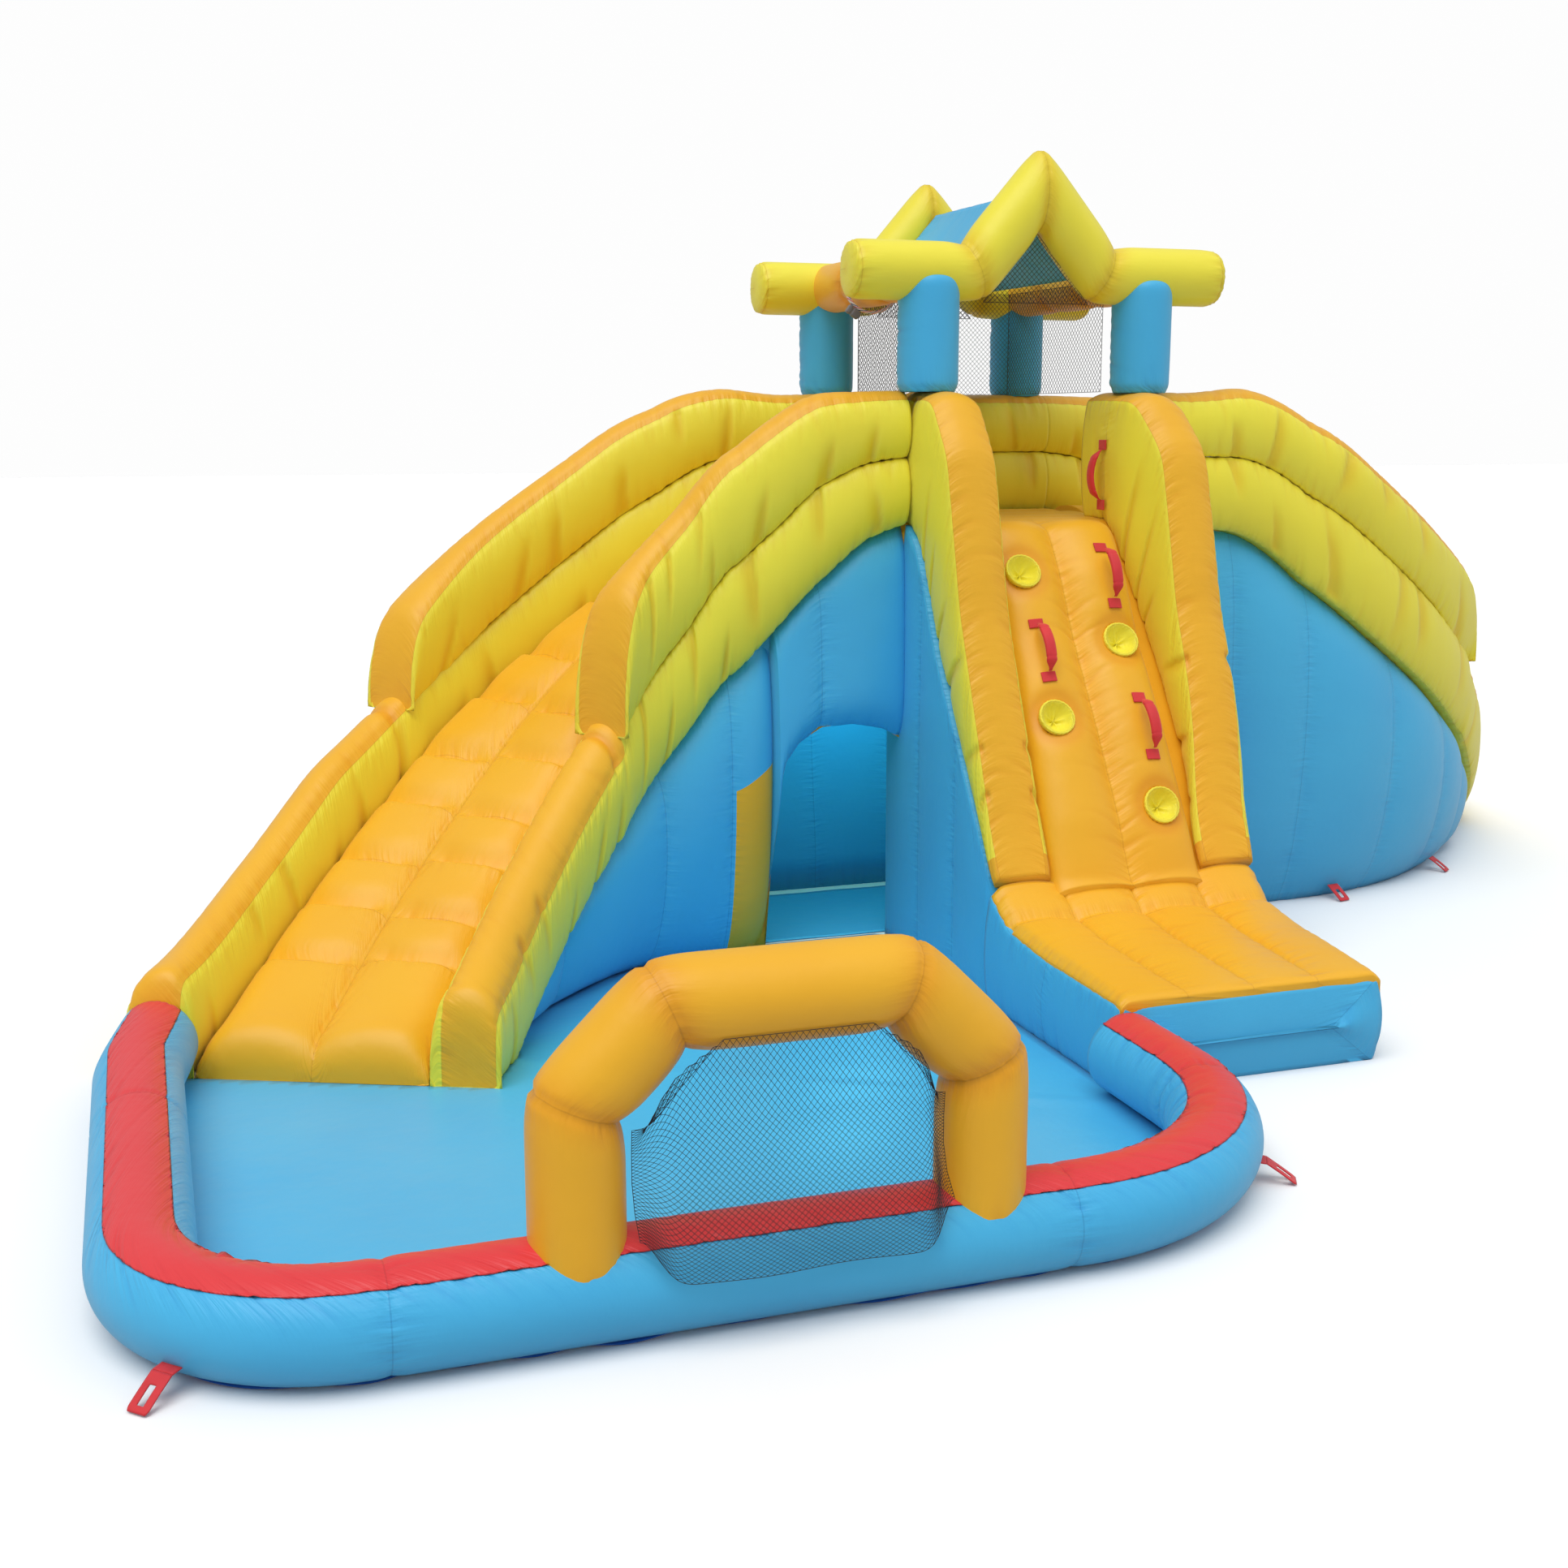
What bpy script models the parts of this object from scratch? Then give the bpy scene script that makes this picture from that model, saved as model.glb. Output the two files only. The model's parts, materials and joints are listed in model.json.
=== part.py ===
"""Inflatable water slide: two curved chutes, a roofed tower, a climbing wall and a splash pool.

Metres, +Z up. The origin is on the ground under the centre of the tower, +X runs along the
climbing wall towards the right chute, and -Y points from the tower to the pool.
"""

import math

import bmesh
import bpy
from mathutils import Matrix, Vector

for old in list(bpy.data.objects):
    bpy.data.objects.remove(old, do_unlink=True)

# Clearances and cloth
GAP = 0.0003
CLOTH = 0.004
OVERRUN = 0.05

# Tower
TOWER_HALF_X = 0.467
DECK_Z = 1.45
DECK_THICK = 0.12
DECK_FRONT_Y = -0.47
WALL_TOP_Z = 1.88

# Chutes: plan route leaves the tower sideways and turns towards the landing end
CHUTE_LEAD = 0.614
CHUTE_TURN_RADII = (1.09, 2.70)
CHUTE_TURN_DEGREES = (40.0, 25.5)
CHUTE_RUN = 2.60
CHUTE_STATIONS = 19
BED_HALF = 0.33
BED_THICK = 0.12
BED_CROWN = 0.035
BED_SEAM_DEPTH = 0.014
# Height of the bed along its run, as shares of the run and of the deck height
BED_PROFILE_SHARES = (
    (0.0, 1.0), (0.135, 0.993), (0.19, 0.955), (0.27, 0.872), (0.385, 0.717), (0.5, 0.566),
    (0.615, 0.42), (0.73, 0.293), (0.845, 0.183), (0.94, 0.107), (1.0, 0.083),
)
TUBE_WIDE = 0.20
TUBE_RISE = 0.215
# The walls' lines above the bed, counted in TUBE_RISE: share of the run, lower edge, seam, top.
# Past the step the seam is the top of the one tube that goes on.
INNER_WALL_LINES = (
    (0.0, -0.014, 1.0, 2.0), (0.056, -0.23, 0.93, 2.0), (0.111, -0.79, 0.65, 2.0),
    (0.167, -1.30, 0.21, 1.81), (0.222, -1.65, -0.02, 1.65), (0.333, -1.60, -0.05, 1.70),
    (0.444, -1.33, 0.23, 2.02), (0.5, -1.21, 0.40, 2.16), (0.556, -1.09, 0.56, 2.0),
    (0.61, -1.02, 0.60, 2.0), (1.0, -0.93, 0.65, 2.0),
)
OUTER_WALL_LINES = (
    (0.0, -0.09, 1.0, 2.0), (0.056, -0.14, 1.0, 2.0), (0.111, -0.19, 1.0, 2.09),
    (0.167, -0.28, 1.02, 2.21), (0.222, -0.42, 1.0, 2.30), (0.278, -0.60, 0.91, 2.30),
    (0.333, -0.72, 0.79, 2.19), (0.444, -0.84, 0.60, 2.07), (0.5, -0.88, 0.56, 1.95),
    (0.556, -0.93, 0.65, 1.72), (0.667, -0.93, 0.81, 1.7), (0.778, -0.93, 0.65, 1.7),
    (0.889, -0.93, 0.65, 1.7), (1.0, -0.93, 0.79, 1.7),
)
UPPER_TUBE_END_RUN = CHUTE_RUN * 10 / (CHUTE_STATIONS - 1)
SKIRT_THICK = 0.10
SKIRT_END_RUN = CHUTE_RUN * 15 / (CHUTE_STATIONS - 1)
SKIRT_FOOT_OFFSET = 0.38
SKIRT_TOP_OFFSET = 0.44
SKIRT_BULGE = 0.07

# Crawl tunnel under the deck
ARCH_WIDE = 0.54
ARCH_SPRING_Z = 0.50
ARCH_RISE = 0.27
ARCH_SEGMENTS = 10
TUNNEL_WALL_RUNS = (CHUTE_RUN * 4 / (CHUTE_STATIONS - 1), CHUTE_RUN * 5 / (CHUTE_STATIONS - 1))

# Climbing wall, seen from the side: the edge line of the panel, from the deck to the ramp's front
CLIMB_EDGE_YZ = (
    (DECK_FRONT_Y, DECK_Z), (-0.56, 1.385), (-0.64, 1.24), (-0.733, 1.056), (-0.938, 0.745),
    (-1.10, 0.52), (-1.20, 0.36), (-1.32, 0.285), (-1.55, 0.26), (-2.01, 0.25),
)
# Crown and thickness of the panel at those points, as shares of its fullest
PANEL_CROWN_SHARES = (0.0, 0.75, 1.0, 1.0, 1.0, 0.7, 0.4, 0.15, 0.15, 0.15)
PANEL_THICK_SHARES = (1.0, 0.83, 1.0, 1.0, 1.0, 1.0, 1.0, 0.65, 0.5, 0.35)
# Front line of the side walls, one point for each of the first points above
SIDE_WALL_FRONT_YZ = (
    (-0.45, WALL_TOP_Z), (-0.64, WALL_TOP_Z), (-0.775, 1.70), (-0.90, 1.19), (-1.04, 0.83),
    (-1.145, 0.55), (-1.215, 0.40),
)
PANEL_FOOT_INDEX = 6
SIDE_WALL_BACK_Y = -0.331
SIDE_WALL_WIDE = 0.21
FLANK_THICK = 0.12
PANEL_THICK = 0.12
PANEL_CROWN = 0.13
PANEL_VALLEY = 0.05
# Rows across the panel: (share of the half width between the side walls, share of the crown)
PANEL_ROW_SHARES = ((-0.92, 0.66), (-0.58, 1.0), (0.0, 0.0), (0.58, 1.0), (0.92, 0.66))
RAMP_RIGHT_X = 0.36
BLOCK_FRONT_Y = -2.015

# Foot pockets and strap handles on the climbing panel: (x, share of the slope from the deck)
POCKET_RADIUS = 0.055
POCKET_DEPTH = 0.05
POCKET_RIM = 0.008
POCKET_FLOOR = 0.006
POCKET_SIDES = 12
PANEL_COLUMN_X = 0.15
POCKET_SLOPE_SHARES = (0.20, 0.40, 0.60, 0.84)
HANDLE_SLOPE_SHARES = (0.22, 0.42, 0.64)
HANDLE_LONG = 0.17
HANDLE_RISE = 0.035
STRAP_WIDE = 0.038
STRAP_THICK = 0.006
STRAP_LIFTS = (0.0012, 0.0030, 0.0012)
STRAP_END_SHARE = 0.3
GRIP_THICK = 0.022
GRAB_LOOP_LONG = 0.17
GRAB_LOOP_LIFT = 0.0009
GRAB_LOOP_YZ = (-0.49, 1.60)

# Posts, roof and cabin nets
POST_X = 0.3925
POST_Y = 0.48
POST_RADIUS = 0.098
POST_TOP_Z = 2.25
ROOF_TUBE_RADIUS = 0.095
SIDE_TUBE_RADIUS = 0.088
ROOF_TUBE_Y = 0.47
EAVES_Z = 2.26
APEX_Z = 2.53
GABLE_HALF = 0.235
ROOF_ARM_END_X = 0.66
ROUND_SIDES = 14
NET_STRAND = 0.012
NET_THICK = 0.004
NET_BACK_Y = 0.372
NET_TOP_Z = 2.25
NET_CELLS = (8, 3)
GABLE_NET_CELLS = 5

# Pool
RIM_WIDE = 0.24
POOL_WALL_RISE = 0.15
RIM_CAP_WIDE = 0.225
RIM_CAP_RISE = 0.08
POOL_LEFT_X = -2.96
POOL_FRONT_Y = -2.90
POOL_RIGHT_X = -0.45
POOL_LEFT_CORNER = 0.40
POOL_RIGHT_CORNER = 0.60
POOL_CORNER_STEPS = 6
POOL_FLOOR_INSET = 0.08
POOL_FLOOR_MARGIN = 0.06
POOL_FLOOR_EDGE = 0.076
FLOOR_EDGE_LEAD = 0.30
FLOOR_EDGE_BLEND = 0.20
POOL_END_LEAD = 0.32

# Goal, standing astride the front rim
GOAL_LEFT_X = -2.15
GOAL_RIGHT_X = -1.29
GOAL_BAR_Z = 0.67
GOAL_SHOULDER_Z = 0.49
GOAL_CHAMFER = 0.18
GOAL_TUBE_RADIUS = 0.098
GOAL_FOOT_Z = 0.19
GOAL_NET_CELLS = 9
# Pocket of the goal net from the bar over the rim: (y, z) rows, then how far its sides fold back
GOAL_NET_YZ = ((-2.9862, 0.6174), (-2.995, 0.46), (-3.025, 0.34), (-3.045, 0.23), (-3.045, 0.15))
GOAL_NET_SIDE_YZ = ((-2.945, 0.44), (-2.94, 0.39), (-2.94, 0.33), (-2.96, 0.275), (-3.00, 0.2322))

# Ground loops, hose loop and blower sleeve
LOOP_LONG = 0.085
LOOP_WIDE = 0.05
LOOP_THICK = 0.003
LOOP_EYE = (0.045, 0.018)
HINGE_LIFT = 0.052
LOOP_DROOP = -34.0
# Where the loops sit: steps along the pool rim, then (turn about the tower, run along a chute)
LOOP_RIM_STEPS = (3, 11)
LOOP_CHUTE_RUNS = ((-1, 0.8), (-1, 1.3), (1, 0.9), (1, -0.25))
HOSE_RADIUS = 0.006
HOSE_LOOP_RADIUS = SIDE_TUBE_RADIUS + 0.012
HOSE_LOOP_Y = 0.02
CLIP_TURN = 235.0
CLIP_SIZE = (0.032, 0.022, 0.052)
SLEEVE_RADIUS = 0.075
SLEEVE_LONG = 0.50
SLEEVE_X = 0.20

model = bpy.data.collections.new("inflatable_water_slide")
cutters = bpy.data.collections.new("cutters")
for group in (model, cutters):
    bpy.context.scene.collection.children.link(group)


def make_material(name, colour, roughness=0.45):
    material = bpy.data.materials.new(name)
    material.use_nodes = True
    shader = material.node_tree.nodes["Principled BSDF"]
    shader.inputs["Base Color"].default_value = (*colour, 1.0)
    shader.inputs["Roughness"].default_value = roughness
    shader.inputs["Metallic"].default_value = 0.0
    return material


ORANGE = make_material("orange_cloth", (0.93, 0.45, 0.04))
YELLOW = make_material("yellow_cloth", (0.82, 0.76, 0.10))
BLUE = make_material("blue_cloth", (0.07, 0.38, 0.72))
FLOOR_BLUE = make_material("pool_floor_cloth", (0.10, 0.48, 0.77))
RED = make_material("red_cloth", (0.78, 0.05, 0.05))
BLACK = make_material("black_net", (0.02, 0.02, 0.025), 0.7)
WEBBING = make_material("red_webbing", (0.75, 0.02, 0.03), 0.6)
STRIPE = make_material("striped_hose", (0.85, 0.70, 0.76), 0.5)
GREY = make_material("grey_plastic", (0.35, 0.36, 0.38), 0.4)


def add_object(name, mesh_data, material, group=model):
    piece = bpy.data.objects.new(name, mesh_data)
    group.objects.link(piece)
    if not mesh_data.materials:
        mesh_data.materials.append(material)
    return piece


def finish(name, bm, material, group=model):
    """Turn a bmesh into an object with its faces pointing outwards."""
    bmesh.ops.recalc_face_normals(bm, faces=bm.faces)
    data = bpy.data.meshes.new(name)
    bm.to_mesh(data)
    bm.free()
    data.shade_smooth()
    data.set_sharp_from_angle(angle=math.radians(40))
    return add_object(name, data, material, group)


def loft(name, rings, material, closed=False, group=model, lean=None):
    """Skin a row of rings, each an equal count of points, with a face across each end.

    With lean, one number for each point of a ring, every face is split along the diagonal that
    runs from the larger number to the smaller, so that two twisted faces that meet are alike.
    """
    bm = bmesh.new()
    rows = [[bm.verts.new(point) for point in ring] for ring in rings]
    count = len(rings[0])
    pairs = list(zip(rows, rows[1:]))
    if closed:
        pairs.append((rows[-1], rows[0]))
    for here, there in pairs:
        for i in range(count):
            j = (i + 1) % count
            if lean is None:
                bm.faces.new((here[i], here[j], there[j], there[i]))
            elif lean[i] > lean[j]:
                bm.faces.new((here[i], here[j], there[j]))
                bm.faces.new((here[i], there[j], there[i]))
            else:
                bm.faces.new((here[i], here[j], there[i]))
                bm.faces.new((here[j], there[j], there[i]))
    if not closed:
        bm.faces.new(rows[0])
        bm.faces.new(rows[-1])
    return finish(name, bm, material, group)


def prism(name, outline, low, high, material, group=model):
    """A flat outline in X and Y raised from one height to another."""
    bm = bmesh.new()
    face = bm.faces.new([bm.verts.new((x, y, low)) for x, y in outline])
    raised = bmesh.ops.extrude_face_region(bm, geom=[face])
    top = [item for item in raised["geom"] if isinstance(item, bmesh.types.BMVert)]
    bmesh.ops.translate(bm, verts=top, vec=(0, 0, high - low))
    return finish(name, bm, material, group)


def block(name, low, high, material, group=model):
    """A box between two opposite corners."""
    bm = bmesh.new()
    size = [b - a for a, b in zip(low, high)]
    middle = [(a + b) / 2 for a, b in zip(low, high)]
    placed = Matrix.Translation(middle) @ Matrix.Diagonal((*size, 1.0))
    bmesh.ops.create_cube(bm, size=1.0, matrix=placed)
    return finish(name, bm, material, group)


def section(count, power):
    """Unit outline between a circle (2) and a box (high power), flat at its four extremes."""
    points = []
    for i in range(count):
        angle = math.tau * (i + 0.5) / count
        c, s = math.cos(angle), math.sin(angle)
        points.append((math.copysign(abs(c) ** (2 / power), c),
                       math.copysign(abs(s) ** (2 / power), s)))
    reach = max(p[0] for p in points)
    return [(a / reach, b / reach) for a, b in points]


TUBE_SECTION = section(12, 3.0)
PANEL_SECTION = section(12, 4.0)


def interpolate(table, at):
    """Value at a place in a table of (place, value) rows, straight between the rows."""
    for (a, u), (b, v) in zip(table, table[1:]):
        if at <= b:
            return u + (v - u) * (at - a) / (b - a)
    return table[-1][1]


def cut(piece, cutter):
    """Take the cutter's space out of the piece."""
    cutter.hide_render = True
    cutter.display_type = "WIRE"
    boolean = piece.modifiers.new("cut_" + cutter.name, "BOOLEAN")
    boolean.operation = "DIFFERENCE"
    boolean.solver = "EXACT"
    boolean.object = cutter


# Route of a chute

def route_frame(run):
    """Plan point and unit vector to the outer side, at a distance along the left chute."""
    x, y, heading = -TOWER_HALF_X, 0.0, 90.0
    left = run
    step = min(left, CHUTE_LEAD)
    x -= step
    left -= step
    for radius, degrees in zip(CHUTE_TURN_RADII, CHUTE_TURN_DEGREES):
        length = radius * math.radians(degrees)
        step = min(max(left, 0.0), length)
        turned = heading - math.degrees(step / radius)
        a, b = math.radians(heading), math.radians(turned)
        x += radius * (math.cos(a) - math.cos(b))
        y += radius * (math.sin(b) - math.sin(a))
        heading = turned
        left -= step
    a = math.radians(heading)
    if left > 0:
        x -= left * math.sin(a)
        y -= left * math.cos(a)
    return Vector((x, y, 0)), Vector((-math.cos(a), math.sin(a), 0))


STATION_RUNS = [CHUTE_RUN * i / (CHUTE_STATIONS - 1) for i in range(CHUTE_STATIONS)]
STATION_FRAMES = [route_frame(run) for run in STATION_RUNS]
REAR_RUN = -2 * TOWER_HALF_X


def chute_point(run, offset, z):
    """A point beside the left chute's centre line; the route is straight between stations."""
    if run <= 0:
        return Vector((-TOWER_HALF_X - run, offset, z))
    pitch = CHUTE_RUN / (CHUTE_STATIONS - 1)
    i = min(int(run / pitch), CHUTE_STATIONS - 2)
    t = run / pitch - i
    (p, n), (q, m) = STATION_FRAMES[i], STATION_FRAMES[i + 1]
    point = (p + n * offset).lerp(q + m * offset, t)
    return Vector((point.x, point.y, z))


STATION_HEIGHTS = [(run, DECK_Z * interpolate(BED_PROFILE_SHARES, run / CHUTE_RUN))
                   for run in STATION_RUNS]


def bed_z(run):
    """Height of the chute's bed, straight between stations and level across the tower."""
    return interpolate(STATION_HEIGHTS, max(run, 0.0))


def runs_between(start, end):
    """Stations between two runs, with both ends."""
    inner = [run for run in STATION_RUNS if start + OVERRUN / 2 < run < end - OVERRUN / 2]
    return [start] + inner + [end]


def chute_ring(run, low, high, side, inner, wide, outline, bulge=0.0, shrink=1.0):
    """One upright section of a wall that stands beside the chute."""
    points = []
    for a, b in outline:
        offset = side * (inner + wide / 2 * (1 + a * shrink) + bulge * (1 - b * b))
        z = (low + high) / 2 + (high - low) / 2 * b * shrink
        points.append(chute_point(run, offset, max(z, 0.0)))
    return points


def wall_lines(side, run):
    """Heights of a side wall's lower edge, seam and top; the inner wall is on side -1."""
    table = INNER_WALL_LINES if side < 0 else OUTER_WALL_LINES
    share = max(run, 0.0) / CHUTE_RUN
    low, seam, top = (bed_z(run) + TUBE_RISE * interpolate([(row[0], row[k]) for row in table],
                                                           share) for k in (1, 2, 3))
    return max(low, 0.0), seam, top


def wall_tubes(prefix, side, start, material):
    """The two stacked tubes of a chute's side wall."""
    lower = []
    upper = []
    for run in runs_between(start, CHUTE_RUN):
        low, seam, top = wall_lines(side, run)
        lower.append(chute_ring(run, low, seam - GAP, side, BED_HALF, TUBE_WIDE, TUBE_SECTION))
        if run <= UPPER_TUBE_END_RUN + OVERRUN / 2:
            upper.append(chute_ring(run, seam, top, side, BED_HALF, TUBE_WIDE, TUBE_SECTION))
    lean = [side * a for a, _ in TUBE_SECTION]
    return (loft(prefix + "_wall_lower", lower, material, lean=lean),
            loft(prefix + "_wall_upper", upper, material, lean=lean))


def skirt_outline(side, run):
    """Section of a skirt: (offset, height) points."""
    high = wall_lines(side, run)[0] - CLOTH * 0.75
    points = []
    for a, b in PANEL_SECTION:
        share = (b + 1) / 2
        middle = SKIRT_FOOT_OFFSET + (SKIRT_TOP_OFFSET - SKIRT_FOOT_OFFSET) * share
        bow = SKIRT_BULGE * (1 - b * b) * min(high / DECK_Z * 2, 1.0)
        points.append((middle + bow + a * SKIRT_THICK / 2, high * share))
    return points


def skirt_face(run, z):
    """Offset of an outer skirt's outer face at a height near its foot."""
    outline = skirt_outline(1, run)
    quarter = len(outline) * 3 // 4
    lower = [(high, offset) for offset, high in outline[quarter:] + outline[:1]]
    return interpolate(lower, z)


def skirt(name, side, start, material):
    """The blue panel that stands under a side wall, tucked in at its foot and bulging halfway."""
    rings = [[chute_point(run, side * offset, z) for offset, z in skirt_outline(side, run)]
             for run in runs_between(start, SKIRT_END_RUN)]
    return loft(name, rings, material, lean=[side * a for a, _ in PANEL_SECTION])


def arch_cutter():
    """The crawl hole through the inner skirt: straight sides under a round head."""
    left, right = -TOWER_HALF_X - ARCH_WIDE, -TOWER_HALF_X + OVERRUN
    outline = [(right, -OVERRUN), (right, ARCH_SPRING_Z)]
    middle = -TOWER_HALF_X - ARCH_WIDE / 2
    for i in range(ARCH_SEGMENTS + 1):
        angle = math.pi * i / ARCH_SEGMENTS
        x = middle + ARCH_WIDE / 2 * math.cos(angle)
        outline.append((x, ARCH_SPRING_Z + ARCH_RISE * math.sin(angle)))
    outline.append((left, -OVERRUN))
    rings = [[(x, y, z) for x, z in outline] for y in (-BED_HALF - 2 * TUBE_WIDE, -BED_HALF / 2)]
    return loft("arch_cutter", rings, BLUE, group=cutters)


def chute_bed():
    """The sliding surface: two lengthwise chambers, drawn in along cross seams."""
    across_shares = (-1.0, -0.8, -0.5, -0.2, 0.0, 0.2, 0.5, 0.8, 1.0)
    rings = []
    half = BED_HALF - GAP
    for index, run in enumerate(STATION_RUNS):
        seam = BED_SEAM_DEPTH if index % 2 else 0.0
        z = bed_z(run)
        points = []
        for share in across_shares:
            crown = BED_CROWN * abs(math.sin(math.pi * share)) ** 0.6
            dip = seam * abs(math.sin(math.pi * share))
            points.append(chute_point(run, share * half, z - BED_CROWN + crown - dip))
        low = max(z - BED_THICK, 0.0)
        points.append(chute_point(run, half, low))
        points.append(chute_point(run, -half, low))
        rings.append(points)
    return loft("left_slide_bed", rings, ORANGE, lean=(*across_shares, 1.0, -1.0))


def tunnel_wall():
    """The orange wall that closes the crawl space under the chute."""
    rings = []
    reach = SKIRT_FOOT_OFFSET - SKIRT_THICK / 2 - GAP
    for run in TUNNEL_WALL_RUNS:
        high = bed_z(run) - BED_THICK - GAP
        rings.append([chute_point(run, offset, z) for offset, z in
                      ((-reach, 0), (reach, 0), (reach, high), (-reach, high))])
    return loft("left_tunnel_wall", rings, ORANGE, lean=(-1, 1, 1, -1))


def build_chutes():
    """Left chute, and the right chute as the same pieces turned half round the tower."""
    left = [chute_bed(), tunnel_wall()]
    left += wall_tubes("left_slide_inner", -1, GAP, YELLOW)
    inner_skirt = skirt("left_slide_inner_skirt", -1, GAP, BLUE)
    cut(inner_skirt, arch_cutter())
    left.append(inner_skirt)
    wall_tubes("left_slide_outer", 1, REAR_RUN, YELLOW)
    skirt("left_slide_outer_skirt", 1, REAR_RUN, BLUE)
    bpy.context.view_layer.update()
    for piece in left:
        depsgraph = bpy.context.evaluated_depsgraph_get()
        shape = bpy.data.meshes.new_from_object(piece.evaluated_get(depsgraph))
        twin = add_object(piece.name.replace("left", "right"), shape, ORANGE)
        twin.rotation_euler = (0, 0, math.pi)
    outer = list(wall_tubes("right_slide_outer", 1, GAP, YELLOW))
    outer.append(skirt("right_slide_outer_skirt", 1, GAP, BLUE))
    for piece in outer:
        piece.rotation_euler = (0, 0, math.pi)


def build_deck():
    """The level platform between the two chutes and the climbing wall."""
    block("platform_deck",
          (-TOWER_HALF_X + GAP, DECK_FRONT_Y, DECK_Z - DECK_THICK),
          (TOWER_HALF_X - GAP, BED_HALF - GAP, DECK_Z), ORANGE)


# Climbing wall

def edge_lengths():
    """Distance along the panel's edge line at each of its points."""
    total = [0.0]
    for (a, b), (c, d) in zip(CLIMB_EDGE_YZ, CLIMB_EDGE_YZ[1:]):
        total.append(total[-1] + math.hypot(c - a, d - b))
    return total


def edge_frame(index):
    """Point on the edge line and the unit normal there; upright cuts at the deck and the foot."""
    y, z = CLIMB_EDGE_YZ[index]
    if index in (0, PANEL_FOOT_INDEX):
        return (y, z), (0.0, 1.0)
    (a, b), (c, d) = CLIMB_EDGE_YZ[index - 1], CLIMB_EDGE_YZ[min(index + 1, len(CLIMB_EDGE_YZ) - 1)]
    length = math.hypot(c - a, d - b)
    return (y, z), ((d - b) / length, -(c - a) / length)


def panel_halves(index):
    """Reach of the panel to the left and right: between the flanks, then over the whole ramp."""
    slope_half = TOWER_HALF_X - FLANK_THICK - GAP
    if index <= PANEL_FOOT_INDEX:
        return slope_half, slope_half
    foot_y = CLIMB_EDGE_YZ[PANEL_FOOT_INDEX][0]
    front = (CLIMB_EDGE_YZ[index][0] - foot_y) / (BLOCK_FRONT_Y - foot_y)
    return TOWER_HALF_X, TOWER_HALF_X + (RAMP_RIGHT_X - TOWER_HALF_X) * front


def crown_at(x, index):
    """Rise of the panel's outer face over its edge line."""
    half = TOWER_HALF_X - SIDE_WALL_WIDE
    crown = PANEL_CROWN * PANEL_CROWN_SHARES[index]
    valley = crown - PANEL_VALLEY * PANEL_CROWN_SHARES[index]
    rows = [(-1.0, -GAP)]
    rows += [(a, crown * b if a else valley) for a, b in PANEL_ROW_SHARES]
    return interpolate(rows + [(1.0, -GAP)], x / half)


def panel_surface(x, length):
    """Point on the panel's outer face and the normal there, at a distance down the slope."""
    lengths = edge_lengths()
    i = 0
    while length > lengths[i + 1]:
        i += 1
    t = (length - lengths[i]) / (lengths[i + 1] - lengths[i])
    ends = []
    for k in (i, i + 1):
        (y, z), (ny, nz) = edge_frame(k)
        ends.append(Vector((x, y, z)) + Vector((0, ny, nz)) * crown_at(x, k))
    run = (ends[1] - ends[0]).normalized()
    return ends[0].lerp(ends[1], t), Vector((0, run.z, -run.y))


def build_climbing_panel():
    """Orange climbing panel and ramp: two lengthwise chambers with a valley between them."""
    rings = []
    half = TOWER_HALF_X - SIDE_WALL_WIDE
    for i in range(len(CLIMB_EDGE_YZ)):
        (y, z), (ny, nz) = edge_frame(i)
        left, right = panel_halves(i)
        thick = PANEL_THICK * PANEL_THICK_SHARES[i]
        rows = [(-left, -GAP), (-half, -GAP)]
        rows += [(share * half, crown_at(share * half, i)) for share, _ in PANEL_ROW_SHARES]
        rows += [(half, -GAP), (right, -GAP), (right, -thick), (-left, -thick)]
        back = GAP if i == 0 else 0.0
        rings.append([(x, y - back + ny * rise, z + nz * rise) for x, rise in rows])
    panel = loft("climbing_panel", rings, ORANGE)
    depth = POCKET_DEPTH + OVERRUN
    for number, (x, length) in enumerate(pocket_places(), 1):
        point, normal = panel_surface(x, length)
        turn = normal.to_track_quat("Z", "Y").to_matrix().to_4x4()
        bm = bmesh.new()
        placed = Matrix.Translation(point + normal * (OVERRUN - POCKET_DEPTH - GAP) / 2) @ turn
        bmesh.ops.create_cone(bm, cap_ends=True, segments=POCKET_SIDES, radius1=POCKET_RADIUS + GAP,
                              radius2=POCKET_RADIUS + GAP, depth=depth + GAP, matrix=placed)
        cut(panel, finish(f"pocket_cutter_{number}", bm, ORANGE, cutters))


def pocket_places():
    slope = edge_lengths()[PANEL_FOOT_INDEX]
    sides = (-1, 1, -1, 1)
    return [(side * PANEL_COLUMN_X, slope * share)
            for side, share in zip(sides, POCKET_SLOPE_SHARES)]


def build_pockets():
    """Yellow foot pockets, open cups let into the climbing panel."""
    for number, (x, length) in enumerate(pocket_places(), 1):
        point, normal = panel_surface(x, length)
        turn = normal.to_track_quat("Z", "Y").to_matrix().to_4x4()
        floor_point = point - normal * POCKET_DEPTH
        profile = ((POCKET_RADIUS, 0.0), (POCKET_RADIUS, POCKET_DEPTH),
                   (POCKET_RADIUS - POCKET_RIM, POCKET_DEPTH),
                   (POCKET_RADIUS - POCKET_RIM, POCKET_FLOOR))
        rings = []
        for radius, height in profile:
            ring = []
            for i in range(POCKET_SIDES):
                angle = math.tau * i / POCKET_SIDES
                local = Vector((radius * math.cos(angle), radius * math.sin(angle), height))
                ring.append(turn @ local + floor_point)
            rings.append(ring)
        loft(f"foot_pocket_{number}", rings, YELLOW)


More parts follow.
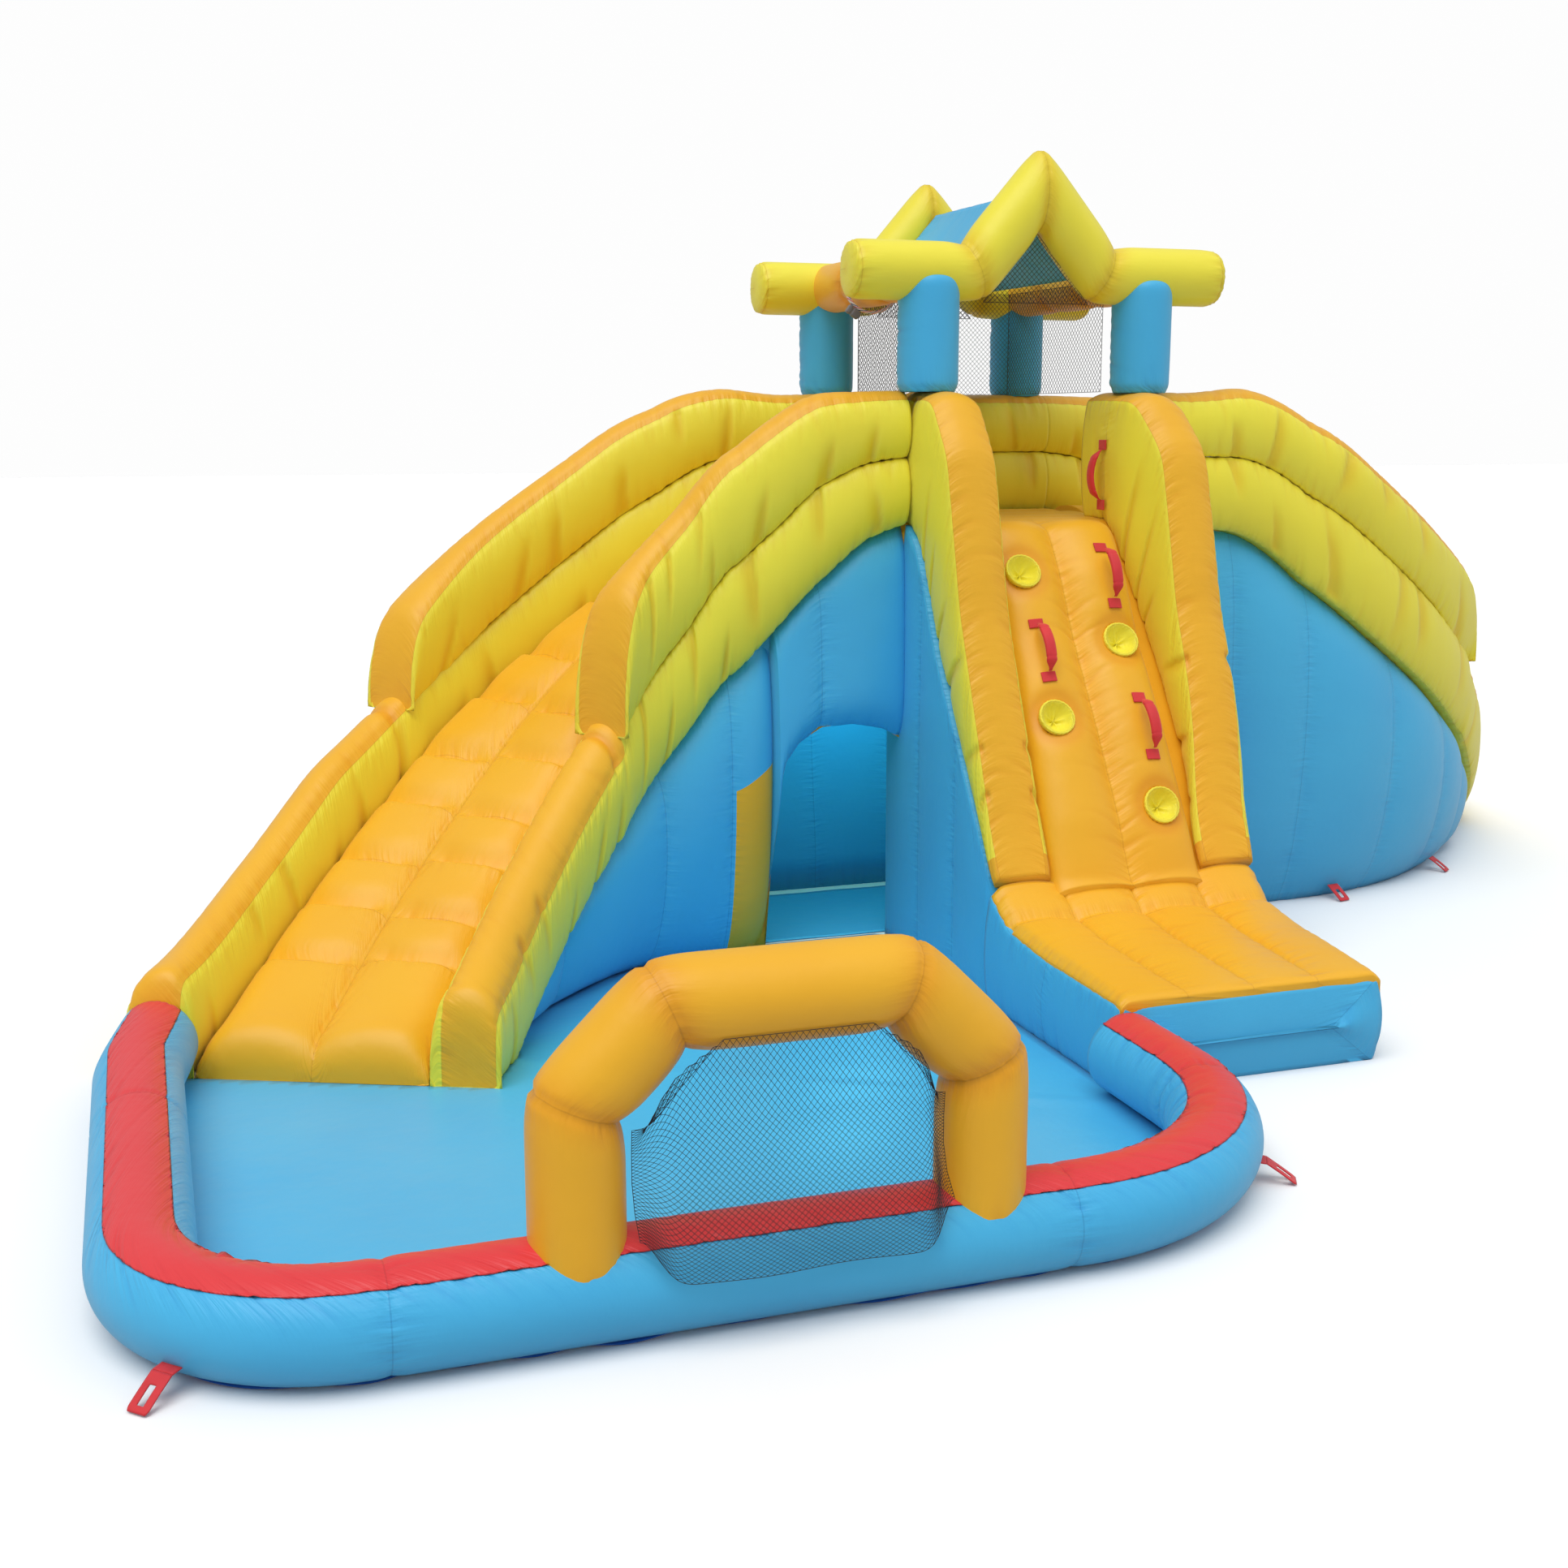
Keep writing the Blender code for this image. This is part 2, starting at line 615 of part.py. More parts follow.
def build_side_walls():
    """Padded walls on both sides of the climbing panel, thick at the top and fading at the foot."""
    rings = []
    count = len(SIDE_WALL_FRONT_YZ)
    middle = TOWER_HALF_X - SIDE_WALL_WIDE / 2
    lines = [((SIDE_WALL_BACK_Y, DECK_Z), (SIDE_WALL_BACK_Y, WALL_TOP_Z))]
    lines += [(CLIMB_EDGE_YZ[i], SIDE_WALL_FRONT_YZ[i]) for i in range(count)]
    for (a, b), (c, d) in lines:
        foot = Vector((middle, a, b + GAP))
        top = Vector((middle, c, d))
        ring = []
        for u, v in PANEL_SECTION:
            point = foot.lerp(top, (v + 1) / 2)
            point.x += u * SIDE_WALL_WIDE / 2
            ring.append(point)
        rings.append(ring)
    right = loft("climbing_wall_right", rings, ORANGE)
    mirrored = [[(-p.x, p.y, p.z) for p in ring] for ring in rings]
    left = loft("climbing_wall_left", mirrored, ORANGE)
    return left, right


def build_flanks():
    """Blue side panels that close the climbing wall down to the ground."""
    under_deck = DECK_Z - DECK_THICK - GAP
    outline = [(SIDE_WALL_BACK_Y, 0.0), (SIDE_WALL_BACK_Y, under_deck),
               (DECK_FRONT_Y - GAP, under_deck)]
    outline += [(y - GAP, z - GAP * 3) for y, z in CLIMB_EDGE_YZ[:PANEL_FOOT_INDEX]]
    foot_y, foot_z = CLIMB_EDGE_YZ[PANEL_FOOT_INDEX]
    outline += [(foot_y + GAP, foot_z - GAP * 3), (foot_y + GAP, 0.0)]
    for name, side in (("climbing_flank_left", -1), ("climbing_flank_right", 1)):
        rings = [[(side * x, y, z) for y, z in outline]
                 for x in (TOWER_HALF_X - FLANK_THICK, TOWER_HALF_X)]
        loft(name, rings, BLUE)


def build_ramp_base():
    """Blue inflated block that carries the ramp in front of the climbing wall."""
    rings = []
    for i in range(PANEL_FOOT_INDEX, len(CLIMB_EDGE_YZ)):
        (y, z), (ny, nz) = edge_frame(i)
        left, right = panel_halves(max(i, PANEL_FOOT_INDEX + 1))
        thick = PANEL_THICK * PANEL_THICK_SHARES[i] + GAP * 2
        y -= ny * thick
        if i == PANEL_FOOT_INDEX:
            y -= GAP
        if i == len(CLIMB_EDGE_YZ) - 1:
            y = BLOCK_FRONT_Y
        high = z - nz * thick
        rings.append([(-left, y, 0.0), (right, y, 0.0), (right, y, high), (-left, y, high)])
    loft("ramp_base", rings, BLUE)


def strap_path(long, rise, steps=6):
    """Bow of a strap handle from one sewn end to the other: (along, out)."""
    return [(-long / 2 + long * i / steps, rise * math.sin(math.pi * i / steps) ** 0.6)
            for i in range(steps + 1)]


def strap_handle(name, origin, along, out, long, rise, lift):
    """A webbing strap bowed off its backing, thicker where it is padded for the hand."""
    across = along.cross(out)
    rings = []
    path = strap_path(long, rise)
    for i, (a, b) in enumerate(path):
        grip = 0 < i < len(path) - 1
        thick = GRIP_THICK if grip else STRAP_THICK
        half = STRAP_WIDE / 2 * (1 if grip else STRAP_END_SHARE)
        centre = origin + along * a + out * (b + lift + thick / 2)
        rings.append([centre + across * (u * half) + out * (v * thick / 2)
                      for u, v in ((-1, -0.5), (-0.5, -1), (0.5, -1), (1, -0.5),
                                   (1, 0.5), (0.5, 1), (-0.5, 1), (-1, 0.5))])
    piece = loft(name, rings, WEBBING)
    piece.data.transform(Matrix.Translation(-origin))
    piece.location = origin
    return piece


def build_handles():
    """Three strap handles on the panel and a grab loop on the right side wall."""
    slope = edge_lengths()[PANEL_FOOT_INDEX]
    sides = (1, -1, 1)
    for number, (side, share) in enumerate(zip(sides, HANDLE_SLOPE_SHARES), 1):
        point, normal = panel_surface(side * PANEL_COLUMN_X, slope * share)
        along = Vector((0, -normal.z, normal.y))
        strap_handle(f"strap_handle_{number}", point, along, normal, HANDLE_LONG, HANDLE_RISE,
                     STRAP_LIFTS[number - 1])
    y, z = GRAB_LOOP_YZ
    place = Vector((TOWER_HALF_X - SIDE_WALL_WIDE, y, z))
    strap_handle("grab_loop", place, Vector((0, 0, 1)), Vector((-1, 0, 0)), GRAB_LOOP_LONG,
                 HANDLE_RISE, GRAB_LOOP_LIFT)


# Posts and roof

def mitred_tube(name, points, radius, material, group=model, sides=ROUND_SIDES, domed=True,
                plane=Vector((0, 1, 0))):
    """Round tube through points in one plane, mitred at its bends, with softly closed ends."""
    points = [Vector(p) for p in points]
    rings = []

    def ring(centre, forward, size, stretch):
        side = plane.cross(forward).normalized()
        return [centre + side * (size * stretch * math.cos(math.tau * (i + 0.5) / sides))
                + plane * (size * math.sin(math.tau * (i + 0.5) / sides)) for i in range(sides)]

    first = (points[1] - points[0]).normalized()
    last = (points[-1] - points[-2]).normalized()
    if domed:
        rings.append(ring(points[0], first, radius * 0.8, 1.0))
        rings.append(ring(points[0] + first * radius / 4, first, radius, 1.0))
    else:
        rings.append(ring(points[0], first, radius, 1.0))
    for before, here, after in zip(points, points[1:], points[2:]):
        a, b = (here - before).normalized(), (after - here).normalized()
        middle = (a + b).normalized()
        rings.append(ring(here, middle, radius, 1 / a.dot(middle)))
    if domed:
        rings.append(ring(points[-1] - last * radius / 4, last, radius, 1.0))
        rings.append(ring(points[-1], last, radius * 0.8, 1.0))
    else:
        rings.append(ring(points[-1], last, radius, 1.0))
    return loft(name, rings, material, group=group)


def zigzag_points(y):
    return [(-ROOF_ARM_END_X, y, EAVES_Z), (-GABLE_HALF, y, EAVES_Z), (0.0, y, APEX_Z),
            (GABLE_HALF, y, EAVES_Z), (ROOF_ARM_END_X, y, EAVES_Z)]


def build_roof():
    """Two zigzag gable tubes, two side tubes between them, four posts and the roof cloth."""
    clear = ROOF_TUBE_RADIUS + GAP
    gable_cutters = []
    for name, y in (("roof_tube_front", -ROOF_TUBE_Y), ("roof_tube_back", ROOF_TUBE_Y)):
        mitred_tube(name, zigzag_points(y), ROOF_TUBE_RADIUS, YELLOW)
        gable_cutters.append(mitred_tube(name + "_cutter", zigzag_points(y), clear, YELLOW,
                                         group=cutters))
    side_cutters = []
    for side, x in (("left", -POST_X), ("right", POST_X)):
        line = [(x, -ROOF_TUBE_Y, EAVES_Z), (x, 0, EAVES_Z), (x, ROOF_TUBE_Y, EAVES_Z)]
        tube = mitred_tube("roof_side_tube_" + side, line, SIDE_TUBE_RADIUS, ORANGE, domed=False,
                           plane=Vector((1, 0, 0)))
        side_cutters.append(mitred_tube(tube.name + "_cutter", line, SIDE_TUBE_RADIUS + GAP,
                                        ORANGE, group=cutters, domed=False,
                                        plane=Vector((1, 0, 0))))
        for cutter in gable_cutters:
            cut(tube, cutter)
    for end, y, gable_cutter in (("front", -POST_Y, gable_cutters[0]),
                                 ("back", POST_Y, gable_cutters[1])):
        for side, x, side_cutter in (("left", -POST_X, side_cutters[0]),
                                     ("right", POST_X, side_cutters[1])):
            dome = POST_RADIUS / 2
            profile = ((POST_RADIUS, WALL_TOP_Z + GAP), (POST_RADIUS, POST_TOP_Z - dome),
                       (POST_RADIUS * 0.8, POST_TOP_Z - dome / 4), (POST_RADIUS / 2, POST_TOP_Z))
            rings = [[(x + r * math.cos(math.tau * (i + 0.5) / ROUND_SIDES),
                       y + r * math.sin(math.tau * (i + 0.5) / ROUND_SIDES), z)
                      for i in range(ROUND_SIDES)] for r, z in profile]
            post = loft(f"post_{end}_{side}", rings, BLUE)
            cut(post, gable_cutter)
            cut(post, side_cutter)
    foot = POST_X - HOSE_LOOP_RADIUS - HOSE_RADIUS - CLOTH
    reach = ROOF_TUBE_Y - clear
    low, high = EAVES_Z, APEX_Z + CLOTH
    outline = ((-foot, low), (0.0, high - CLOTH), (foot, low),
               (foot, low + CLOTH), (0.0, high), (-foot, low + CLOTH))
    loft("roof_sheet", [[(x, y, z) for x, z in outline] for y in (-reach, reach)], BLUE)


# Nets

def open_net(name, bm, material=BLACK):
    """Turn every face of a flat grid into a gap between strands, and give it a thickness."""
    bm.normal_update()
    cells = bm.faces[:]
    bmesh.ops.inset_individual(bm, faces=cells, thickness=NET_STRAND / 2, use_even_offset=True)
    bmesh.ops.delete(bm, geom=cells, context="FACES")
    data = bpy.data.meshes.new(name)
    bm.to_mesh(data)
    bm.free()
    piece = add_object(name, data, material)
    solid = piece.modifiers.new("thickness", "SOLIDIFY")
    solid.thickness = NET_THICK
    solid.offset = 0
    return piece


def net_grid(columns, rows, place):
    """A grid of faces with its corners placed by a function of the column and row."""
    bm = bmesh.new()
    verts = [[bm.verts.new(place(i, j)) for j in range(rows + 1)] for i in range(columns + 1)]
    for i in range(columns):
        for j in range(rows):
            bm.faces.new((verts[i][j], verts[i + 1][j], verts[i + 1][j + 1], verts[i][j + 1]))
    return bm


def build_cabin_nets():
    """Nets hung inside the roof tubes: two sides, the back, and one in each gable."""
    columns, rows = NET_CELLS
    low, high = WALL_TOP_Z, NET_TOP_Z
    edge = NET_THICK / 2 + GAP
    net_x = POST_X - SIDE_TUBE_RADIUS * math.cos(math.pi / ROUND_SIDES) - edge
    reach = NET_BACK_Y - edge
    for name, x in (("net_left", -net_x), ("net_right", net_x)):
        open_net(name, net_grid(columns, rows, lambda i, j: (
            x, -reach + 2 * reach * i / columns, low + (high - low) * j / rows)))
    reach = net_x + NET_THICK / 2
    open_net("net_back", net_grid(columns, rows, lambda i, j: (
        -reach + 2 * reach * i / columns, NET_BACK_Y, low + (high - low) * j / rows)))
    rise, foot_z = APEX_Z - EAVES_Z, EAVES_Z - ROOF_TUBE_RADIUS
    flat = ROOF_TUBE_RADIUS * math.cos(math.pi / ROUND_SIDES) + GAP
    top_z = APEX_Z - flat * math.hypot(GABLE_HALF, rise) / GABLE_HALF
    half = (top_z - foot_z) * GABLE_HALF / rise
    count = GABLE_NET_CELLS
    for name, y in (("gable_net_front", -ROOF_TUBE_Y), ("gable_net_back", ROOF_TUBE_Y)):
        bm = bmesh.new()
        rows = [[bm.verts.new((half * (2 * i + j - count) / count, y,
                               foot_z + (top_z - foot_z) * j / count))
                 for i in range(count + 1 - j)] for j in range(count + 1)]
        for j in range(count):
            for i in range(count - j):
                bm.faces.new((rows[j][i], rows[j][i + 1], rows[j + 1][i]))
                if i:
                    bm.faces.new((rows[j][i], rows[j + 1][i], rows[j + 1][i - 1]))
        open_net(name, bm)


# Pool

def corner(centre, radius, start, end):
    """Points round a corner of the pool rim, with the outward direction at each."""
    points = []
    for i in range(POOL_CORNER_STEPS + 1):
        angle = math.radians(start + (end - start) * i / POOL_CORNER_STEPS)
        out = Vector((math.cos(angle), math.sin(angle), 0))
        points.append((Vector(centre) + out * radius, out))
    return points


def rim_route():
    """Centre line of the pool rim: (point, outward direction across the rim)."""
    right, left, front = POOL_RIGHT_X, POOL_LEFT_X, POOL_FRONT_Y
    r, q = POOL_RIGHT_CORNER, POOL_LEFT_CORNER
    route = [(Vector((right, BLOCK_FRONT_Y - GAP, 0)), Vector((1, 0, 0)))]
    route += corner((right - r, front + r, 0), r, 0, -90)
    route += corner((left + q, front + q, 0), q, -90, -180)
    end, out = route_frame(CHUTE_RUN)
    heading = Vector((out.y, -out.x, 0)) * -1
    if heading.y > 0:
        heading = -heading
    last = end + out * (BED_HALF + TUBE_WIDE / 2) + heading * GAP
    before = Vector((left, last.y - POOL_END_LEAD, 0))
    route.append((before, Vector((-1, 0, 0))))
    route.append((last, out))
    return route


def rim_piece(name, wide, low, high, power, material):
    rings = []
    for point, out in rim_route():
        rings.append([point + out * (a * wide / 2) + Vector((0, 0, low + (high - low) * (b + 1) / 2))
                      for a, b in section(12, power)])
    return loft(name, rings, material)


def build_pool():
    """Rim of the splash pool in two stacked parts, its floor sheet and the tunnel's ground sheet."""
    cap_low = POOL_WALL_RISE + GAP
    rim_piece("pool_wall", RIM_WIDE, 0.0, POOL_WALL_RISE, 3.0, BLUE)
    rim_piece("pool_rim_cap", RIM_CAP_WIDE, cap_low, cap_low + RIM_CAP_RISE, 3.0, RED)
    outline = [point - out * POOL_FLOOR_EDGE for point, out in rim_route()]
    skirt_foot = SKIRT_FOOT_OFFSET + POOL_FLOOR_MARGIN
    edge = [chute_point(CHUTE_RUN + GAP, offset, 0) for offset in (BED_HALF, -BED_HALF - TUBE_WIDE)]
    runs = [run for run in reversed(STATION_RUNS) if run > 0]
    for run in runs:
        share = min(max((run - SKIRT_END_RUN + FLOOR_EDGE_LEAD) / FLOOR_EDGE_BLEND, 0.0), 1.0)
        offset = skirt_foot + share * (BED_HALF + TUBE_WIDE - skirt_foot)
        edge.append(chute_point(run, -offset, 0))
    side = -TOWER_HALF_X - GAP
    edge.append(Vector((side, -skirt_foot, 0)))
    edge.append(Vector((side, BLOCK_FRONT_Y - GAP, 0)))
    prism("pool_floor", [(p.x, p.y) for p in outline + edge[1:]], 0.0, CLOTH, FLOOR_BLUE)
    reach_x = TOWER_HALF_X + TUNNEL_WALL_RUNS[0] - GAP * 2
    reach_y = BED_HALF - POOL_FLOOR_INSET / 4
    block("tunnel_floor", (-reach_x, -reach_y, 0.0), (reach_x, reach_y, CLOTH), FLOOR_BLUE)


# Goal

def build_goal():
    """Orange goal frame astride the rim, and the net pocket that hangs over the rim behind it."""
    y = POOL_FRONT_Y
    left, right, inset = GOAL_LEFT_X, GOAL_RIGHT_X, GOAL_CHAMFER
    points = [(left, y, GOAL_FOOT_Z), (left, y, GOAL_SHOULDER_Z), (left + inset, y, GOAL_BAR_Z),
              (right - inset, y, GOAL_BAR_Z), (right, y, GOAL_SHOULDER_Z), (right, y, GOAL_FOOT_Z)]
    frame = mitred_tube("goal_frame", points, GOAL_TUBE_RADIUS, ORANGE, domed=False)
    clear = GAP * 2
    low = POOL_WALL_RISE - GAP
    for name, wide, bottom, top in (
            ("goal_cap_cutter", RIM_CAP_WIDE + clear, low, POOL_WALL_RISE + RIM_CAP_RISE + clear),
            ("goal_wall_cutter", RIM_WIDE + clear, -clear, POOL_WALL_RISE + clear)):
        rings = [[(x, y + a * wide / 2, bottom + (top - bottom) * (b + 1) / 2)
                  for a, b in section(12, 3.0)] for x in (left - RIM_WIDE, right + RIM_WIDE)]
        cut(frame, loft(name, rings, ORANGE, group=cutters))
    last = GOAL_NET_CELLS
    rows = len(GOAL_NET_YZ) - 1
    inner_left = left + GOAL_TUBE_RADIUS + NET_THICK
    inner_right = right - GOAL_TUBE_RADIUS - NET_THICK
    shoulder = GOAL_SHOULDER_Z - GOAL_CHAMFER / 4

    def place(i, j):
        if i in (0, last):
            y, z = GOAL_NET_SIDE_YZ[j]
            return (inner_left if i == 0 else inner_right), y, z
        share = (i - 1) / (last - 2)
        x = inner_left + (inner_right - inner_left) * share
        y, z = GOAL_NET_YZ[j]
        if j == 0:
            from_side = min(x - inner_left, inner_right - x)
            z = min(z, shoulder + from_side)
        if j == 1:
            z -= GOAL_CHAMFER / 3
        return x, y, z

    open_net("goal_net", net_grid(last, rows, place))


# Small parts

def loop_places():
    """Sewn edge and outward direction of each ground loop."""
    route = rim_route()
    places = [(route[i][0] + route[i][1] * RIM_WIDE / 2, route[i][1]) for i in LOOP_RIM_STEPS]
    for turn, run in LOOP_CHUTE_RUNS:
        offset = skirt_face(run, HINGE_LIFT)
        point = chute_point(run, offset, 0)
        out = (chute_point(run, offset * 2, 0) - point).normalized()
        places.append((point * turn, out * turn))
    clear = GAP - LOOP_THICK / 2 * math.sin(math.radians(LOOP_DROOP))
    return [(place + out * clear, out) for place, out in places]


def build_ground_loops():
    """Red webbing flaps sewn to the foot of the slide, each with an eye for a stake."""
    for number, (place, out) in enumerate(loop_places(), 1):
        bm = bmesh.new()
        half = LOOP_WIDE / 2
        eye_long, eye_half = LOOP_EYE[0], LOOP_EYE[1] / 2
        eye_start = (LOOP_LONG - eye_long) * 0.65
        xs = (0.0, eye_start, eye_start + eye_long, LOOP_LONG)
        ys = (-half, -eye_half, eye_half, half)
        verts = [[bm.verts.new((u, v, 0)) for v in ys] for u in xs]
        for i in range(3):
            for j in range(3):
                if (i, j) != (1, 1):
                    bm.faces.new((verts[i][j], verts[i + 1][j], verts[i + 1][j + 1], verts[i][j + 1]))
        data = bpy.data.meshes.new(f"ground_loop_{number}")
        bm.to_mesh(data)
        bm.free()
        piece = add_object(f"ground_loop_{number}", data, WEBBING)
        piece.location = (place.x, place.y, HINGE_LIFT)
        piece.rotation_euler = (0, -math.radians(LOOP_DROOP), math.atan2(out.y, out.x))
        solid = piece.modifiers.new("thickness", "SOLIDIFY")
        solid.thickness = LOOP_THICK
        solid.offset = 0


def ring_around(name, centre, radius, thin, material):
    """A closed round cord about a tube that runs along Y."""
    rings = []
    for k in range(ROUND_SIDES * 2):
        turn = math.tau * k / (ROUND_SIDES * 2)
        out = Vector((math.cos(turn), 0, math.sin(turn)))
        rings.append([centre + out * (radius + thin * math.cos(math.tau * i / 6))
                      + Vector((0, thin * math.sin(math.tau * i / 6), 0)) for i in range(6)])
    return loft(name, rings, material, closed=True)


def build_hose_loop():
    """The striped water-hose loop round the left roof tube with its grey clip."""
    radius = HOSE_LOOP_RADIUS
    sag = radius - HOSE_RADIUS - SIDE_TUBE_RADIUS - GAP * 2
    centre = Vector((-POST_X, HOSE_LOOP_Y, EAVES_Z - sag))
    ring_around("hose_loop", centre, radius, HOSE_RADIUS, STRIPE)
    wide, deep, high = CLIP_SIZE
    turn = math.radians(CLIP_TURN)
    out = Vector((math.cos(turn), 0, math.sin(turn)))
    along = Vector((-out.z, 0, out.x))
    near = radius + HOSE_RADIUS + GAP
    rings = [[centre + along * t + out * u + Vector((0, v, 0))
              for u, v in ((near, -deep / 2), (near + wide, -deep / 2),
                           (near + wide, deep / 2), (near, deep / 2))]
             for t in (-high / 2, high / 2)]
    loft("hose_clip", rings, GREY)


def sleeve_start():
    """Where the sleeve leaves the rear skirt."""
    return skirt_face(-TOWER_HALF_X - SLEEVE_X, SLEEVE_RADIUS * 2) + GAP


def build_blower_sleeve():
    """Cloth sleeve at the back of the tower where the blower is tied on."""
    rings = []
    start = sleeve_start()
    for radius, reach in ((SLEEVE_RADIUS, 0.0), (SLEEVE_RADIUS, SLEEVE_LONG),
                          (SLEEVE_RADIUS - CLOTH, SLEEVE_LONG), (SLEEVE_RADIUS - CLOTH, CLOTH)):
        rings.append([(SLEEVE_X + radius * math.cos(math.tau * (i + 0.5) / ROUND_SIDES),
                       start + reach,
                       SLEEVE_RADIUS + radius * math.sin(math.tau * (i + 0.5) / ROUND_SIDES))
                      for i in range(ROUND_SIDES)])
    loft("blower_sleeve", rings, BLUE)


build_chutes()
build_deck()
build_climbing_panel()
build_pockets()
build_side_walls()
build_flanks()
build_ramp_base()
build_handles()
build_roof()
build_cabin_nets()
build_pool()
build_goal()
build_ground_loops()
build_hose_loop()
build_blower_sleeve()
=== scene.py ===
import json
import math

import bmesh
import bpy
import numpy as np
from mathutils import Matrix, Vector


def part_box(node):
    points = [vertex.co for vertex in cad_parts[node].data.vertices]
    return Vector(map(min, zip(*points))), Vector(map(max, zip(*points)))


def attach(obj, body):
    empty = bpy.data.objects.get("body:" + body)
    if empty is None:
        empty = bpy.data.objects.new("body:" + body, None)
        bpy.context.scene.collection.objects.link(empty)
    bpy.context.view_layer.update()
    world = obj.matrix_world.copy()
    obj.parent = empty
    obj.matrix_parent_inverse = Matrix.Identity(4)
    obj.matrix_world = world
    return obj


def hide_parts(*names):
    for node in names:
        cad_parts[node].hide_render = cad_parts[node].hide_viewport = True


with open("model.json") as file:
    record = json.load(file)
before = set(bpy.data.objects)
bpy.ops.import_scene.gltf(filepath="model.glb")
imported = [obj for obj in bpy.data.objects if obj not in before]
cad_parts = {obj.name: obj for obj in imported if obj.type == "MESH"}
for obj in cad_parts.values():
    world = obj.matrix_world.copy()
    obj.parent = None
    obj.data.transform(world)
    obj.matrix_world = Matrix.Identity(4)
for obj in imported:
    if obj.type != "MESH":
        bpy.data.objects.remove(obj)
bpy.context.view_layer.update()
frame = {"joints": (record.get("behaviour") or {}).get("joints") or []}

# --- Studio: a pale floor, soft light and the camera ---------------------------------------
# The photograph is taken from a standing adult's eye level, left of the climbing wall.
# The floor and the backdrop are plain white paper under wide soft lamps.


def placed(name, data):
    """An object that holds the data, linked into the scene."""
    made = bpy.data.objects.new(name, data)
    bpy.context.scene.collection.objects.link(made)
    return made


camera = placed("photo_camera", bpy.data.cameras.new("photo_camera"))
camera.data.lens = 42.857
camera.data.sensor_width = 36.0
camera.location = (-2.877, -6.251, 1.777)
camera.rotation_euler = (math.radians(79.03), 0.0, math.radians(-19.0))
bpy.context.scene.camera = camera
bpy.context.scene.view_settings.view_transform = "Standard"


def linear(red, green, blue):
    """A colour read off a screen, 0 to 255, as the light values that shaders take."""
    return tuple(c / 12.92 if c <= 0.04045 else ((c + 0.055) / 1.055) ** 2.4
                 for c in (red / 255, green / 255, blue / 255))


for lamp_name, strength, spread, turn in (("key_light", 1.80, 50, (24, 0, -42)),
                                          ("fill_light", 0.30, 80, (36, 0, 60))):
    lamp = bpy.data.lights.new(lamp_name, "SUN")
    lamp.energy = strength
    lamp.angle = math.radians(spread)
    placed(lamp_name, lamp).rotation_euler = [math.radians(a) for a in turn]

# Daylight that reaches the crawl tunnel through the blue cloth.
glow = bpy.data.lights.new("tunnel_glow", "POINT")
glow.energy, glow.shadow_soft_size, glow.color = 9.0, 0.12, (0.2, 0.8, 1.0)
placed("tunnel_glow", glow).location = (-0.35, 0.05, 0.95)

world = bpy.data.worlds.new("soft_box")
world.use_nodes = True
bpy.context.scene.world = world
nodes, links = world.node_tree.nodes, world.node_tree.links
nodes.clear()
seen = nodes.new("ShaderNodeLightPath")
glossy_or_seen = nodes.new("ShaderNodeMath")
glossy_or_seen.operation = "MAXIMUM"
links.new(seen.outputs["Is Camera Ray"], glossy_or_seen.inputs[0])
links.new(seen.outputs["Is Transmission Ray"], glossy_or_seen.inputs[1])
paper, room, mix = (nodes.new("ShaderNodeBackground"), nodes.new("ShaderNodeBackground"),
                    nodes.new("ShaderNodeMixShader"))
paper.inputs["Color"].default_value = (0.985, 0.985, 0.985, 1)
room.inputs["Color"].default_value = (0.95, 0.975, 1, 1)
room.inputs["Strength"].default_value = 0.50
links.new(glossy_or_seen.outputs[0], mix.inputs[0])
links.new(room.outputs[0], mix.inputs[1])
links.new(paper.outputs[0], mix.inputs[2])
links.new(mix.outputs[0], nodes.new("ShaderNodeOutputWorld").inputs["Surface"])


def blank_material(name):
    """A new material with its nodes, links and main shader."""
    material = bpy.data.materials.new(name)
    material.use_nodes = True
    nodes = material.node_tree.nodes
    return material, nodes, material.node_tree.links, nodes["Principled BSDF"]


def mesh_of(bm, name, material):
    """A finished bmesh as a mesh of one material."""
    mesh = bpy.data.meshes.new(name)
    bm.to_mesh(mesh)
    bm.free()
    mesh.materials.append(material)
    return mesh


white, nodes, links, shader = blank_material("floor_paper")
shader.inputs["Roughness"].default_value = 0.9
shader.inputs["Specular IOR Level"].default_value = 0.1
seen = nodes.new("ShaderNodeLightPath")
tone = nodes.new("ShaderNodeMix")
tone.data_type = "RGBA"
tone.inputs["A"].default_value = (0.55, 0.55, 0.56, 1)
tone.inputs["B"].default_value = (1.0, 0.99, 0.98, 1)
links.new(seen.outputs["Is Camera Ray"], tone.inputs["Factor"])
links.new(tone.outputs["Result"], shader.inputs["Base Color"])
bm = bmesh.new()
bmesh.ops.create_grid(bm, x_segments=4, y_segments=4, size=60)
placed("studio_floor", mesh_of(bm, "studio_floor", white))

# --- Chute beds -----------------------------------------------------------------------------
# Each bed is a blown mat of coated woven cloth: two lengthwise chambers joined by a middle seam
# and drawn in by cross seams every 0.2 m. The cloth puckers where it is sewn.


